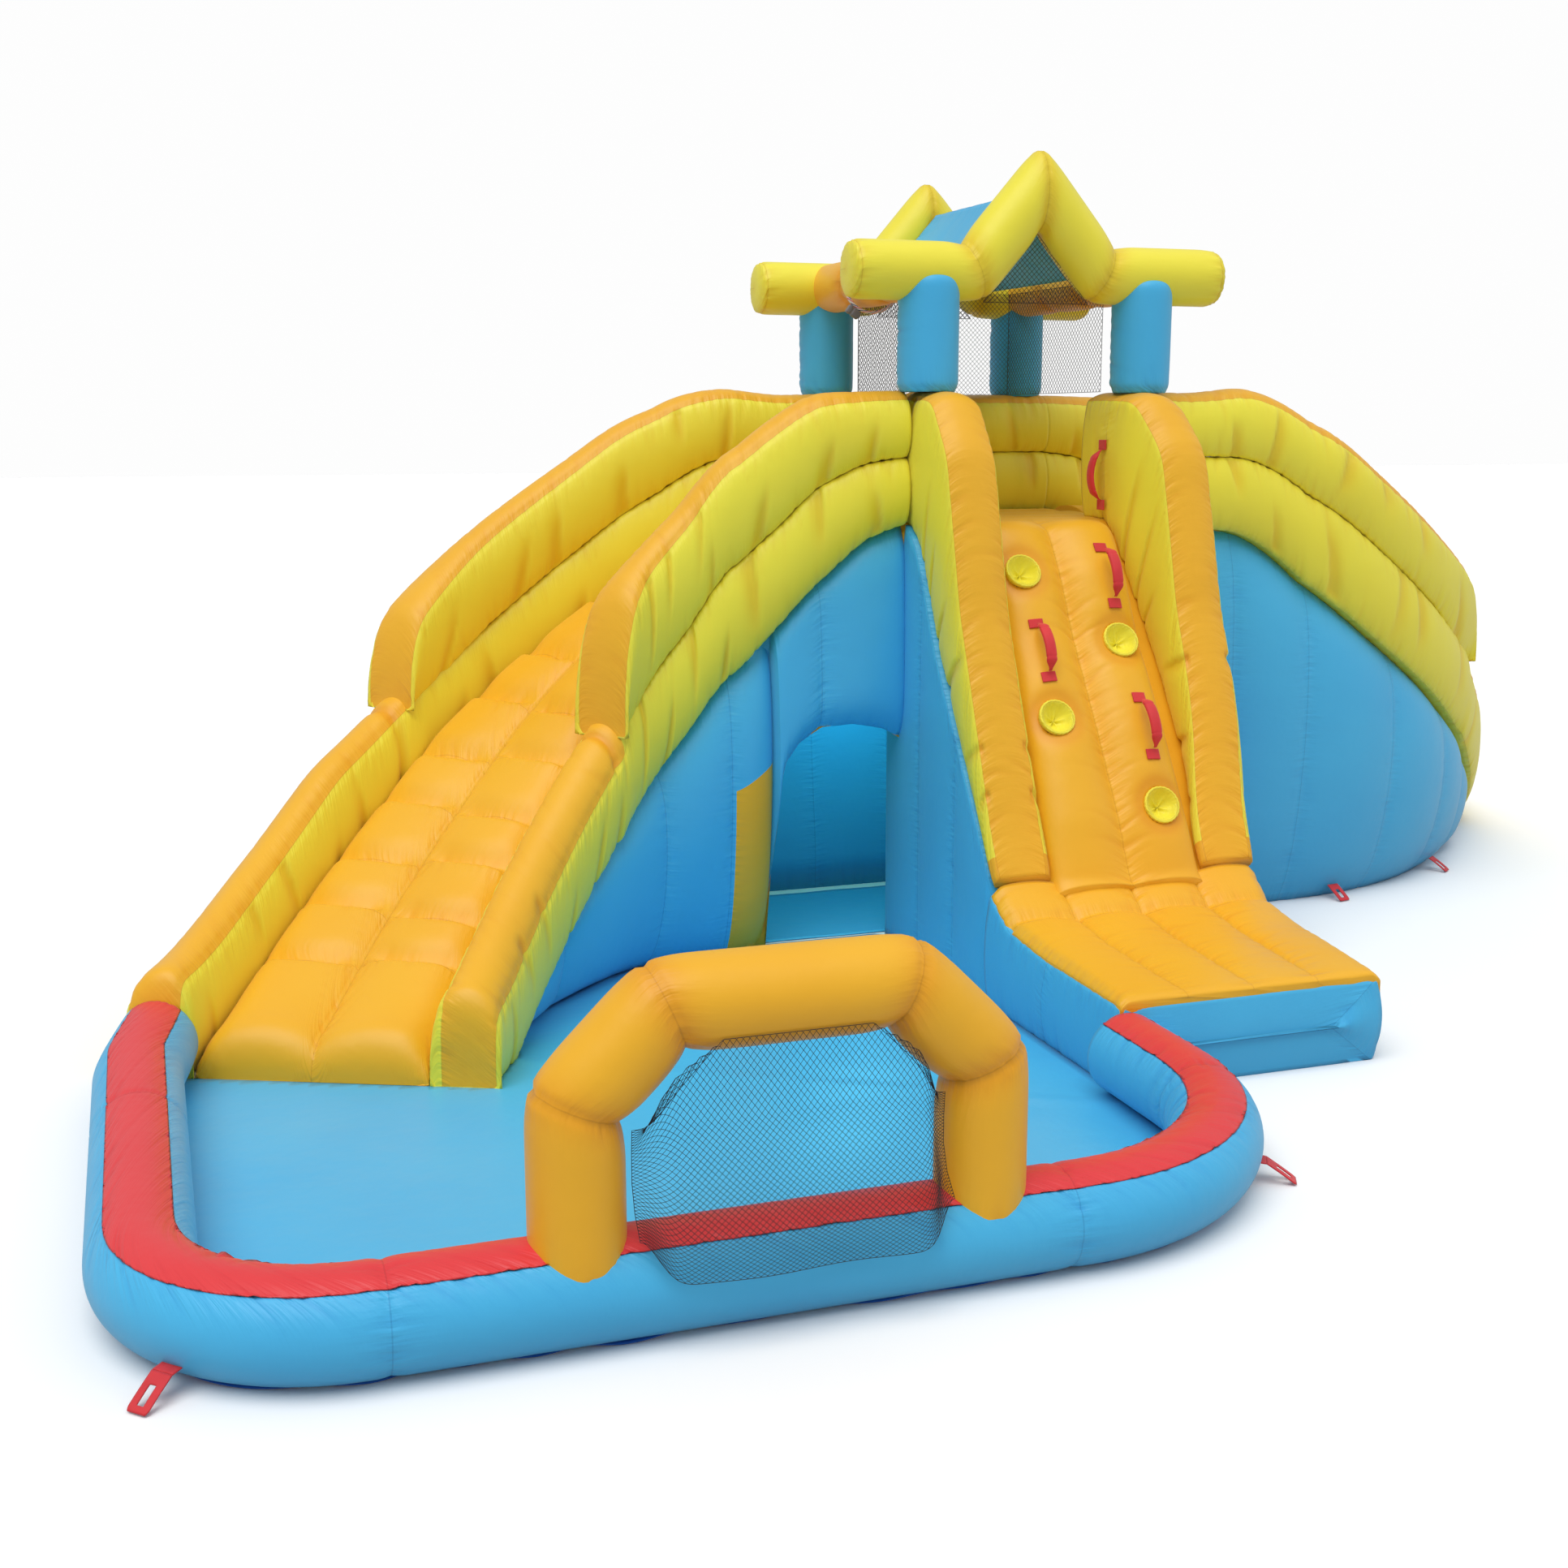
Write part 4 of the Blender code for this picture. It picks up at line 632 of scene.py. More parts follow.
for side_name, twin in (("left", False), ("right", True)):
    for wall_name, side in (("inner", -1), ("outer", 1)):
        start = BACK_START if (wall_name == "outer" and not twin) else FIRST_RUN
        plain = np.arange(max(start, FIRST_RUN), SKIRT_END, 0.012)
        if start < 0:
            plain = np.concatenate([np.arange(start, 0, 0.012), plain])
        if wall_name == "inner":
            arch = JAMB_RUN * (1 - np.linspace(1, 0.06, 44) ** 2)
            runs = np.concatenate([arch, JAMB_RUN + JAMB_WIDE * np.linspace(0.01, 1, 16) ** 2,
                                   plain[plain > 0.61]])
            head = np.interp(runs, *ARCH_HEAD)
            low = np.where(runs < JAMB_RUN, head, 0.0)
            seams = (0.0, 0.30, 0.61, 1.07, 1.80, SKIRT_END)
        else:
            runs, low = plain, np.zeros(len(plain))
            seams = (BACK_START, -0.62, -0.31, 0.0, 0.33, 0.64, 0.94, 1.22, 1.50, 1.80, SKIRT_END)
        offset, z = skirt_points(runs, low, wall_lines(runs, side > 0, twin)[0], seams)
        if wall_name == "inner":
            jamb = np.clip((JAMB_RUN + JAMB_WIDE - runs) / JAMB_WIDE, 0, 1)
            jamb = np.where(runs > JAMB_RUN, 0.085 * (1 - np.sqrt(np.clip(1 - jamb ** 2, 0, 1))), 0)
            offset = offset - jamb[:, None] * (np.arange(46) < 34)[None, :]
        seam_rows = [int(np.argmin(np.abs(runs - s))) for s in seams[1:-1]]
        arch_rows = int((low > 0).sum())
        jamb_rows = int((runs < 0.585).sum()) if wall_name == "inner" else 0
        jamb_top = int(np.argmin(np.abs(z[arch_rows + 4, :33] - 0.65)))
        points = turned(beside(runs, side * offset, z), twin)
        skirt = skin(f"{side_name}_chute_{wall_name}_skirt_panel", points,
                     [blue_cloth, orange_cloth],
                     paint=lambda r, c: (((r < arch_rows) & ((c == 45) | (c == 44)))
                                         | ((r >= arch_rows) & (r < jamb_rows)
                                            & ((c < jamb_top) | (c >= 44)))).astype(int),
                     long_seams=(0, 33), cross_seams=seam_rows, seed=71 + 3 * twin + side,
                     pucker=0.6, gap=0.06)
        blown(skirt, "blue_cloth", f"{side_name}_slide_{wall_name}_skirt")

    runs = np.linspace(0.5778, 0.7222, 14)
    ring, tunnel_seams = pillow([(-.325, 0), (.325, 0), (.325, 1), (-.325, 1)],
                                (0, .0, 0, .0), (14, 12, 14, 12))
    z = ring[None, :, 1] * (bed_z(runs) - 0.122)[:, None]
    bulge = 0.008 * np.abs(np.sin(ring[:, 0] / 0.325 * math.pi * 1.5)) * np.sin(math.pi * ring[:, 1])
    shifted = runs[:, None] + np.where(np.arange(14)[:, None] == 0, -bulge, 0)
    plan = np.stack([beside(shifted[:, k], ring[k, 0] + np.zeros((14, 1)), z[:, k:k + 1])[:, 0]
                     for k in range(len(ring))], 1)
    wall = skin(f"{side_name}_crawl_tunnel_wall", turned(plan, twin), [orange_cloth],
                long_seams=tunnel_seams, seed=81 + twin, pucker=0.5)
    blown(wall, "orange_cloth", f"{side_name}_tunnel_wall")

pool_sheet_cloth = coated_cloth("pool_floor_coated_cloth", (76, 186, 232), (50, 156, 214), 0.28)
tunnel_x, tunnel_y = np.linspace(-1.043, 1.043, 70), np.linspace(-0.309, 0.309, 22)
points = lattice(tunnel_x[:, None], tunnel_y[None, :], 0.0035)
points[..., 2] += 0.0008 * np.sin(points[..., 0] * 21 + 3 * points[..., 1]) \
    * np.sin(points[..., 1] * 17)
ground = skin("crawl_tunnel_ground_sheet", points, [pool_sheet_cloth], closed=False,
              up=(0, 0, 1), long_seams=(0, 21), cross_seams=(35,), pucker=0.15, seed=90)
single_sheet(ground, node="tunnel_floor")

# --- Platform deck ----------------------------------------------------------------------------
# A flat blown mat between the two chutes, in the same orange cloth as the beds. Three lengthwise
# seams hold it level to stand on.


def bent(values, reach):
    """Rounds off the bends down the rows of a table and keeps both of its ends in place."""
    count = max(int(reach), 1)
    kernel = np.hanning(2 * count + 3)[1:-1]
    values = np.asarray(values, float)
    flat = values.reshape(len(values), -1)
    padded = np.pad(flat, ((count, count), (0, 0)), mode="reflect", reflect_type="odd")
    eased = np.stack([np.convolve(column, kernel / kernel.sum(), "valid")
                      for column in padded.T], 1)
    return eased.reshape(values.shape)


deck_x = np.arange(-0.466, 0.4665, 0.0155)
deck_y = np.linspace(-0.468, 0.328, 49)
share = np.linspace(0, 1, 49)
channel = np.abs(np.sin(math.pi * share * 4)) ** 0.6
edge = np.minimum(1, np.minimum(deck_x + 0.466, 0.466 - deck_x) / 0.05)
edge = np.sqrt(np.clip(1 - (1 - edge) ** 2, 0, 1))
z = 1.443 + (0.010 * channel[None, :] - 0.03 * (1 - edge[:, None]))
upper = lattice(deck_x[:, None], deck_y[None, :], z)
lower = upper[:, ::-6].copy()
lower[..., 2] = 1.332
deck = skin("platform_deck_cloth", np.concatenate([upper, lower], 1), [orange_cloth],
            long_seams=(0, 12, 24, 36, 48), seed=101, pucker=0.6, reach=0.04)
blown(deck, "orange_cloth", "platform_deck")

# --- Climbing panel and ramp --------------------------------------------------------------------
# Orange climbing panel of two lengthwise chambers with a valley between them. At the foot it is
# sewn to a flatter ramp of four chambers, which lies on a blue block.
EDGE_YZ = np.array([(-.47, 1.45), (-.56, 1.385), (-.64, 1.24), (-.733, 1.056), (-.938, .745),
                    (-1.10, .52), (-1.20, .36), (-1.32, .285), (-1.55, .26), (-2.01, .25)])
edge_lengths = np.concatenate([[0], np.cumsum(np.linalg.norm(np.diff(EDGE_YZ, axis=0), axis=1))])
SLOPE_LONG = edge_lengths[6]
PANEL_HALF = 0.257
slope_steps = np.arange(0, edge_lengths[-1] + 0.002, 0.004)
edge_line = bent(np.stack([np.interp(slope_steps, edge_lengths, EDGE_YZ[:, k])
                           for k in (0, 1)], -1), 12)
edge_tangent = np.gradient(edge_line, axis=0)
edge_tangent /= np.linalg.norm(edge_tangent, axis=1, keepdims=True)
crown_rise = bent(np.interp(slope_steps, edge_lengths,
                            0.13 * np.array((0, .75, 1, 1, 1, .7, .4, .15, .15, .15))), 10)


def panel_point(x, length, lift=0.0):
    """Points on the climbing panel's face, by the distance across it and down the slope."""
    x, length = np.broadcast_arrays(np.asarray(x, float), np.asarray(length, float))
    y, z = (np.interp(length, slope_steps, edge_line[:, k]) for k in (0, 1))
    ty, tz = (np.interp(length, slope_steps, edge_tangent[:, k]) for k in (0, 1))
    crown = np.interp(length, slope_steps, crown_rise)
    share = np.clip(np.abs(x) / PANEL_HALF, 0, 1)
    rise = crown * ((1 - share ** 4) ** 0.45 - 0.46 * bell(share, 0, 0.22, 1.2)) + lift
    return np.stack([x, y + tz * rise, z - ty * rise], -1)


POCKET_PLACES = [(side * 0.15, SLOPE_LONG * s) for side, s in ((-1, .20), (1, .40), (-1, .60),
                                                              (1, .84))]
panel_x = np.linspace(-0.345, 0.345, 93)
panel_down = np.arange(0.0, SLOPE_LONG + 0.05, 0.0075)
face = panel_point(panel_x[None, :], panel_down[:, None])
sink = np.zeros(face.shape[:2])
for x, length in POCKET_PLACES:
    middle = panel_point(x, length)
    away = np.linalg.norm(face - middle, axis=-1)
    hole = np.clip((0.058 - away) / 0.008, 0, 1)
    sink += 0.070 * eased(hole)
    sink += 0.014 * bell(away, 0.055, 0.040) * (away > 0.05)
under = panel_point(panel_x[::-12], panel_down[:, None], -0.10)
sink = np.concatenate([sink, np.zeros(under.shape[:2])], 1)
panel = skin("climbing_panel_cloth", np.concatenate([face, under], 1), [orange_cloth],
             long_seams=(46,), seed=103, sink=sink, pucker=1.0, gap=0.05, reach=0.09)
blown(panel, "orange_cloth", "climbing_panel")

ramp_y = np.concatenate([np.arange(-1.205, -1.985, -0.009),
                         -1.985 - 0.030 * np.sin(np.linspace(0, math.pi / 2, 9))])
ramp_drop = np.concatenate([np.zeros(len(ramp_y) - 9),
                            1 - np.cos(np.linspace(0, math.pi / 2, 9))])
across = np.linspace(-1, 1, 97)
RAMP_ENDS_Y, RAMP_RIGHT_X, RAMP_LEFT = (-2.015, -1.205), (0.36, 0.466), 0.466
right_reach = np.interp(ramp_y, RAMP_ENDS_Y, RAMP_RIGHT_X)
ramp_x = -RAMP_LEFT + (right_reach[:, None] + RAMP_LEFT) * (across[None, :] + 1) / 2
edge_z = np.interp(-ramp_y, -edge_line[:, 0], edge_line[:, 1])
quarter = np.abs(np.sin(2 * math.pi * across)) ** 0.5
side_fall = 1 - (1 - np.clip((1 - np.abs(across)) / 0.08, 0, 1)) ** 2
crease_foot = 0.016 * bell(ramp_y, -1.33, 0.018)
near_front = np.clip((ramp_y + 2.015) / 0.30, 0, 1)[:, None] ** 0.6
ramp_z = edge_z[:, None] + 0.002 + 0.026 * quarter[None, :] * side_fall[None, :] * near_front \
    + 0.008 * (1 - near_front) * side_fall[None, :] \
    - 0.012 * (1 - side_fall[None, :]) - 0.012 * ramp_drop[:, None] - crease_foot[:, None]
face = lattice(ramp_x, ramp_y[:, None], ramp_z)
under = face[:, ::-12].copy()
under[..., 2] = (edge_z - 0.065)[:, None]
ramp = skin("climbing_ramp_cloth", np.concatenate([face, under], 1), [orange_cloth],
            long_seams=(0, 24, 48, 72, 96), cross_seams=(14,), seed=104, pucker=0.9)
blown(ramp, "orange_cloth")

base_y = np.concatenate([np.arange(-1.2, -1.975, -0.015),
                         -1.975 - 0.039 * np.sin(np.linspace(0, math.pi / 2, 9))])
base_share = np.concatenate([np.zeros(len(base_y) - 9), 1 - np.cos(np.linspace(0, math.pi / 2, 9))])
ring, base_seams = pillow([(-1, 0), (1, 0), (1, 1), (-1, 1)], (0, .0, 0, .0), (30, 20, 30, 20))
right_reach = np.interp(base_y, RAMP_ENDS_Y, RAMP_RIGHT_X)
bulge = 0.020 * np.sin(math.pi * np.clip(ring[None, :, 1], 0, 1)) ** 0.6
half = (right_reach + RAMP_LEFT)[:, None] / 2
x = -RAMP_LEFT + half * (ring[None, :, 0] + 1) + np.sign(ring[None, :, 0]) * (
    bulge * (np.abs(ring[None, :, 0]) > 0.99) - 0.018 * base_share[:, None])
top_z = np.interp(-base_y, -edge_line[:, 0], edge_line[:, 1]) - 0.014
front = 0.015 * np.sin(math.pi * np.clip(ring[None, :, 1], 0, 1)) * (base_share[:, None] > 0.9)
block_points = lattice(x, base_y[:, None] - front,
                                            ring[None, :, 1] * top_z[:, None])
last = block_points[-1]
middle = last.mean(axis=0) + (last - last.mean(axis=0)) * [0.62, 1, 0]
for t in np.linspace(0.12, 0.96, 8):
    inset = last + (middle - last) * t
    inset[:, 1] -= 0.016 * math.sin(math.pi / 2 * t)
    block_points = np.concatenate([block_points, inset[None]])
base = skin("ramp_base_cloth", block_points, [blue_cloth], long_seams=base_seams,
            cross_seams=(26,), seed=106, pucker=0.7)
blown(base, "blue_cloth", "ramp_base")

# --- Foot pockets -------------------------------------------------------------------------------
# Yellow cloth cups let into the climbing panel for hands and feet. Each has a rolled rim and a
# floor gathered in folds.


def frame_at(x, length):
    """A place on the climbing panel with its directions across, up the slope and out."""
    place = panel_point(x, length)
    up = panel_point(x, length - 0.03) - panel_point(x, length + 0.03)
    up /= np.linalg.norm(up)
    across = np.array([1.0, 0.0, 0.0])
    out = np.cross(across, up)
    return place, across, up, out / np.linalg.norm(out)


cup_profile = np.array([(.002, -.044), (.010, -.042), (.018, -.038), (.026, -.032),
                        (.034, -.024), (.041, -.015), (.047, -.006), (.051, .000),
                        (.054, .003), (.0565, .0045), (.0585, .0045), (.060, .0035),
                        (.0610, .001), (.0612, -.003), (.060, -.009), (.056, -.016),
                        (.054, -.030), (.053, -.047), (.030, -.050), (.002, -.050)])
for number, (x, length) in enumerate(POCKET_PLACES, 1):
    place, across, up, out = frame_at(x, length)
    turn = np.linspace(0, math.tau, 72, endpoint=False)
    inside = (np.arange(len(cup_profile)) < 8).astype(float)[:, None]
    radius = cup_profile[:, :1] + 0 * turn[None, :]
    lift = cup_profile[:, 1:] + inside * 0.012 * np.abs(
        np.cos(2.5 * turn[None, :] + number)) ** 4 * np.clip(1.1 - radius / 0.050, 0, 1)
    radius = radius + 0.0008 * np.cos(26 * turn[None, :]) * (radius > 0.046)
    points = place - out * 0.010 + (radius * np.cos(turn))[..., None] * across \
        + (radius * np.sin(turn))[..., None] * up + lift[..., None] * out
    cup = skin(f"foot_pocket_cup_{number}", points, [yellow_cloth], cross_seams=(8, 14),
               seed=110 + number, sewn=False)
    blown(cup, "yellow_cloth", f"foot_pocket_{number}", fill=0.4)

# --- Climbing side walls and flanks ---------------------------------------------------------------
# Blown walls on both sides of the climbing panel: yellow sides and an orange panel that runs from
# the posts over the top and down to a rounded foot. Blue flanks close them down to the ground.
wall_feet = np.array([(-.331, 1.45), *EDGE_YZ[:7]])
wall_tops = np.array([(-.331, 1.88), (-.45, 1.88), (-.64, 1.88), (-.775, 1.70), (-.90, 1.19),
                      (-1.04, .83), (-1.145, .55), (-1.215, .40)])
wall_ring, wall_edges = pillow([(-.80, 0), (.80, 0), (.80, .93), (-.80, .93)],
                               (0, .19, .0, .19), (6, 20, 21, 20))
reach = np.concatenate([[0], np.cumsum(np.linalg.norm(
    np.diff((wall_tops * 2 + wall_feet) / 3, axis=0), axis=1))])
steps = np.arange(0, reach[-1], 0.010)
feet, tops = (bent(np.stack([np.interp(steps, reach, line[:, k]) for k in (0, 1)], -1), 7)
              for line in (wall_feet, wall_tops))
end = np.clip((steps - reach[-1] + 0.13) / 0.13, 0, 1)
squeeze = np.sqrt(np.clip(1 - end ** 2.6, 0.02, 1))
for side_name, side in (("left", -1), ("right", 1)):
    v = wall_ring[None, :, 1]
    rail = tops - feet
    thick = np.linalg.norm(rail, axis=1, keepdims=True)
    yz = feet[:, None, :] + rail[:, None, :] * v[..., None]
    crown = 0.028 * (1 - np.clip(np.abs(wall_ring[None, :, 0]) / .80, 0, 1) ** 2.2) * (v > 0.9)
    yz = yz + (rail / thick)[:, None, :] * (crown * np.minimum(thick / 0.25, 1))[..., None]
    width = 0.103 * (0.90 + 0.10 * squeeze[:, None])
    x = side * 0.362 + wall_ring[None, :, 0] * width
    if side > 0:
        x = x + 0.05 * bell(yz[..., 0], -0.88, 0.22, 4)
    points = np.concatenate([np.broadcast_to(x, yz.shape[:2])[..., None], yz], -1)
    sink = darts(steps, np.broadcast_to(v, (len(steps), v.shape[1])), 130 + side, pitch=0.24)
    sink = sink * (np.abs(wall_ring[None, :, 0]) > 0.7)
    wall = skin(f"climbing_side_wall_{side_name}", points, [yellow_cloth, orange_cloth],
                paint=lambda r, c: (((c >= wall_edges[2]) & (c < wall_edges[3]))
                                    | (r > len(steps) - 9)).astype(int),
                long_seams=wall_edges, cross_seams=(17,), seed=131 + side, sink=sink, reach=0.06)
    blown(wall, "yellow_cloth", f"climbing_wall_{side_name}")

    flank_y = np.concatenate([np.arange(-0.331, -1.16, -0.012),
                              -1.165 - 0.035 * np.sin(np.linspace(0.0, math.pi / 2, 8))])
    top_z = np.interp(-flank_y, -edge_line[:, 0], edge_line[:, 1]) - 0.004
    top_z = np.where(flank_y > -0.47, 1.328, top_z)
    t = np.concatenate([np.linspace(0, 1, 40), np.linspace(1, 0, 10)])
    outer = np.arange(50) < 40
    z = top_z[:, None] * t[None, :]
    swell = 0.020 * np.sin(math.pi * np.clip(t, 0, 1)) ** 0.5
    lobes = np.abs(np.sin(math.pi * (flank_y + 0.331) / 0.29)) ** 0.5 - 1
    x = np.where(outer[None, :], 0.462 + 0.7 * swell[None, :] + 0.014 * lobes[:, None]
                 * np.sin(math.pi * t[None, :]) ** 0.4, 0.350)
    x = x - 0.03 * np.clip((-flank_y[:, None] - 1.165) / 0.035, 0, 1) ** 2 * outer[None, :]
    if side > 0:
        x = x + 0.05 * bell(flank_y[:, None], -0.88, 0.22, 4) * t[None, :]
    points = lattice(side * x, flank_y[:, None], z)
    flank = skin(f"climbing_flank_{side_name}_cloth", points, [blue_cloth],
                 long_seams=(0, 39), cross_seams=(24, 48), seed=141 + side, pucker=0.7)
    blown(flank, "blue_cloth", f"climbing_flank_{side_name}")

# --- Strap handles and grab loop ------------------------------------------------------------------
# Red webbing handles: a padded grip bowed between two flat tabs that lie on the cloth. Three climb
# the panel, and one hangs on the right side wall.


def speckled_material(name, first, second, grain, rough, bump_strength, bump_depth, ribs=None,
                      sheen=0.0):
    """Two close tones in a fine noise, with a bump from that noise or from woven ribs."""
    material, nodes, links, shader = blank_material(name)
    place = nodes.new("ShaderNodeTexCoord")
    noise = nodes.new("ShaderNodeTexNoise")
    noise.inputs["Scale"].default_value = grain
    links.new(place.outputs["Object"], noise.inputs["Vector"])
    height = noise
    if ribs:
        flat = nodes.new("ShaderNodeUVMap")
        flat.uv_map = "cloth"
        height = nodes.new("ShaderNodeTexWave")
        height.inputs["Scale"].default_value = ribs
        height.inputs["Distortion"].default_value = 0.6
        links.new(flat.outputs[0], height.inputs["Vector"])
    tone = nodes.new("ShaderNodeMix")
    tone.data_type = "RGBA"
    tone.inputs["A"].default_value = (*linear(*first), 1)
    tone.inputs["B"].default_value = (*linear(*second), 1)
    links.new(noise.outputs["Fac"], tone.inputs["Factor"])
    links.new(tone.outputs["Result"], shader.inputs["Base Color"])
    bump = nodes.new("ShaderNodeBump")
    bump.inputs["Strength"].default_value = bump_strength
    bump.inputs["Distance"].default_value = bump_depth
    links.new(height.outputs["Fac"], bump.inputs["Height"])
    links.new(bump.outputs[0], shader.inputs["Normal"])
    shader.inputs["Roughness"].default_value = rough
    shader.inputs["Sheen Weight"].default_value = sheen
    return material


red_webbing = speckled_material("red_ribbed_webbing", (232, 46, 52), (196, 26, 36), 18, 0.62,
                                0.4, 0.0006, ribs=110, sheen=0.2)
hinges = {joint["child"]: joint for joint in frame["joints"]}


def strap(name, node, origin, along, out, lift, tab_place):
    """The bowed grip on its own body, and its two sewn tabs on the slide."""
    across = np.cross(along, out)
    t = np.linspace(0, 1, 61)
    rise = 0.035 * np.sin(math.pi * np.clip(t, 1e-4, 1 - 1e-4)) ** 0.6
    grown = np.clip(np.minimum(t, 1 - t) / 0.15, 0, 1)
    grown = eased(grown)
    half = 0.0057 + 0.0125 * grown
    thick = 0.006 + 0.012 * grown
    pleat = 1 - 0.10 * bell(np.minimum(t, 1 - t), 0.20, 0.012)
    turn = np.linspace(0, math.tau, 20, endpoint=False)
    u = np.sign(np.cos(turn)) * np.abs(np.cos(turn)) ** 0.7
    w = np.sign(np.sin(turn)) * np.abs(np.sin(turn)) ** 0.8
    centre = origin + along * ((t - 0.5) * 0.17)[:, None] \
        + out * (rise + lift + thick / 2)[:, None]
    points = centre[:, None, :] + across * (half * pleat)[:, None, None] * u[None, :, None] \
        + out * (thick * pleat / 2)[:, None, None] * w[None, :, None]
    grip = skin(f"{name}_padded_grip", points, [red_webbing], long_seams=(0, 10),
                cross_seams=(12, 48), sewn=False)
    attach(grip, node)
    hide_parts(node)
    for end in (-1, 1):
        u, v = np.linspace(-0.024, 0.024, 13), np.linspace(-0.017, 0.017, 13)
        points = tab_place(u[None, :], end * 0.101 + v[:, None])
        tab = skin(f"{name}_tab_{'low' if end < 0 else 'high'}", points, [red_webbing],
                   closed=False, long_seams=(0, 12), cross_seams=(0, 12), sewn=False, up=out)
        single_sheet(tab, thickness=0.003, offset=0)


for number, (side, s, lift) in enumerate(((1, .22, .0012), (-1, .42, .003), (1, .64, .0012)), 1):
    x, length = side * 0.15, SLOPE_LONG * s
    node = f"strap_handle_{number}"
    up = -np.array(hinges[node]["axis"], float)
    strap(node, node, np.array(hinges[node]["pos_m"], float), up,
          np.cross((1.0, 0.0, 0.0), up), lift,
          lambda u, v, x=x, length=length: panel_point(x + u, length - v, 0.004))
grab_place = np.array([0.257, -0.49, 1.60])
strap("grab_loop", "grab_loop", grab_place, np.array([0.0, 0.0, 1.0]),
      np.array([-1.0, 0.0, 0.0]), 0.0009,
      lambda u, v: lattice(0.2545, -0.49 + u, 1.60 + v))

# --- Posts ------------------------------------------------------------------------------------
# Four blue blown posts stand on the walls and carry the roof tubes. Their rounded tops meet the
# tubes, and each has two upright seams.
POST_X, POST_RADIUS = 0.3925, 0.101
POST_FOOT_Z, POST_SHOULDER_Z = 1.874, 2.165
for end_name, y in (("front", -0.48), ("back", 0.48)):
    for side_name, x in (("left", -POST_X), ("right", POST_X)):
        z = np.concatenate([np.linspace(POST_FOOT_Z, POST_SHOULDER_Z, 34),
                            POST_SHOULDER_Z + 0.085 * np.sin(np.linspace(0.08, math.pi / 2, 16))])
        radius = np.full(len(z), POST_RADIUS)
        radius[34:] = POST_RADIUS * np.sqrt(np.clip(1 - np.linspace(0.0, 1, 16) ** 3.2, 0.002, 1))
        radius *= 1 - 0.10 * bell(z, POST_FOOT_Z, 0.016)
        turn = np.linspace(0, math.tau, 60, endpoint=False) + 0.4
        points = np.stack([x + radius[:, None] * np.cos(turn), y + radius[:, None]
                           * np.sin(turn), z[:, None] + 0 * turn[None, :]], -1)
        post = skin(f"post_{end_name}_{side_name}_cloth", points, [blue_cloth],
                    long_seams=(6, 22), cross_seams=(0,), seed=150 + int(x * 10 + y * 5),
                    pucker=1.1, gap=0.030)
        blown(post, "blue_cloth", f"post_{end_name}_{side_name}")

# --- Roof tubes and roof cloth ------------------------------------------------------------------
# Two yellow zigzag tubes with mitred seams make the gables, two orange tubes join them at the
# sides, and a blue cloth lies over the ridge.


def mitred_tube(name, points, radius, cloth, plane, flat_ends=True, seed=1, pitch=0.014,
                sides=56, end_long=0.022):
    """A blown tube through points in one plane: mitre seams at its bends, flat sewn ends."""
    points = [np.asarray(p, float) for p in points]
    plane = np.asarray(plane, float)
    turn = np.linspace(0, math.tau, sides, endpoint=False)
    heads = [(b - a) / np.linalg.norm(b - a) for a, b in zip(points, points[1:])]
    rows, seams, grooves = [], [], []
    for k, head in enumerate(heads):
        side = np.cross(plane, head)
        spokes = side * np.cos(turn)[:, None] * radius + plane * np.sin(turn)[:, None] * radius
        before = heads[k - 1] if k else head
        after = heads[k + 1] if k + 1 < len(heads) else head
        ends = []
        for point, other in ((points[k], before), (points[k + 1], after)):
            cut = (head + other) / np.linalg.norm(head + other)
            ends.append(point + spokes - head * ((spokes @ cut) / (head @ cut))[:, None])
        count = max(int(np.linalg.norm(points[k + 1] - points[k]) / pitch), 4)
        t = np.linspace(0, 1, count + 1)
        part = ends[0] + (ends[1] - ends[0]) * t[:, None, None]
        if k:
            part = part[1:]
        rows.append(part)
        if k + 1 < len(heads):
            seams.append(sum(len(r) for r in rows) - 1)
    if flat_ends:
        t = np.linspace(0, 1, 14)[1:]
        inward = np.sqrt(np.clip(1 - t ** 2.8, 0.0006, 1))
        for at_start in (True, False):
            rim = rows[0][0] if at_start else rows[-1][-1]
            centre = points[0] if at_start else points[-1]
            step = -heads[0] if at_start else heads[-1]
            cap = centre + (rim - centre) * inward[:, None, None] \
                + step * (end_long * t ** 0.7)[:, None, None]
            rows = [cap[::-1]] + rows if at_start else rows + [cap]
        seams = [s + 13 for s in seams]
        edges = [10, sum(len(r) for r in rows) - 11]
    else:
        edges = []
    grid = bent(np.concatenate(rows), 2)
    length = np.concatenate([[0], np.cumsum(np.linalg.norm(np.diff(grid, axis=0), axis=-1)
                                            .mean(1))])
    sink = np.zeros(grid.shape[:2])
    for s in seams:
        sink += 0.009 * bell(length, length[s], 0.010)[:, None]
        sink += 0.006 * bell(length, length[s], 0.045)[:, None]
    dice = np.random.default_rng(seed)
    for e in edges:
        sink += 0.003 * bell(length, length[e], 0.006)[:, None]
        for a in np.arange(0, math.tau, math.tau / 26):
            away = np.angle(np.exp(1j * (turn - a - dice.uniform(-0.09, 0.09))))
            sink += dice.uniform(0.001, 0.0045) * np.exp(
                -((length - length[e]) / dice.uniform(0.02, 0.04)) ** 2)[:, None] \
                * bell(away, 0, 0.06)[None, :]
    return skin(name, grid, [cloth], long_seams=(sides // 4,), cross_seams=seams + edges,
                seed=seed, sink=sink, pucker=1.1, gap=0.030, reach=0.05)


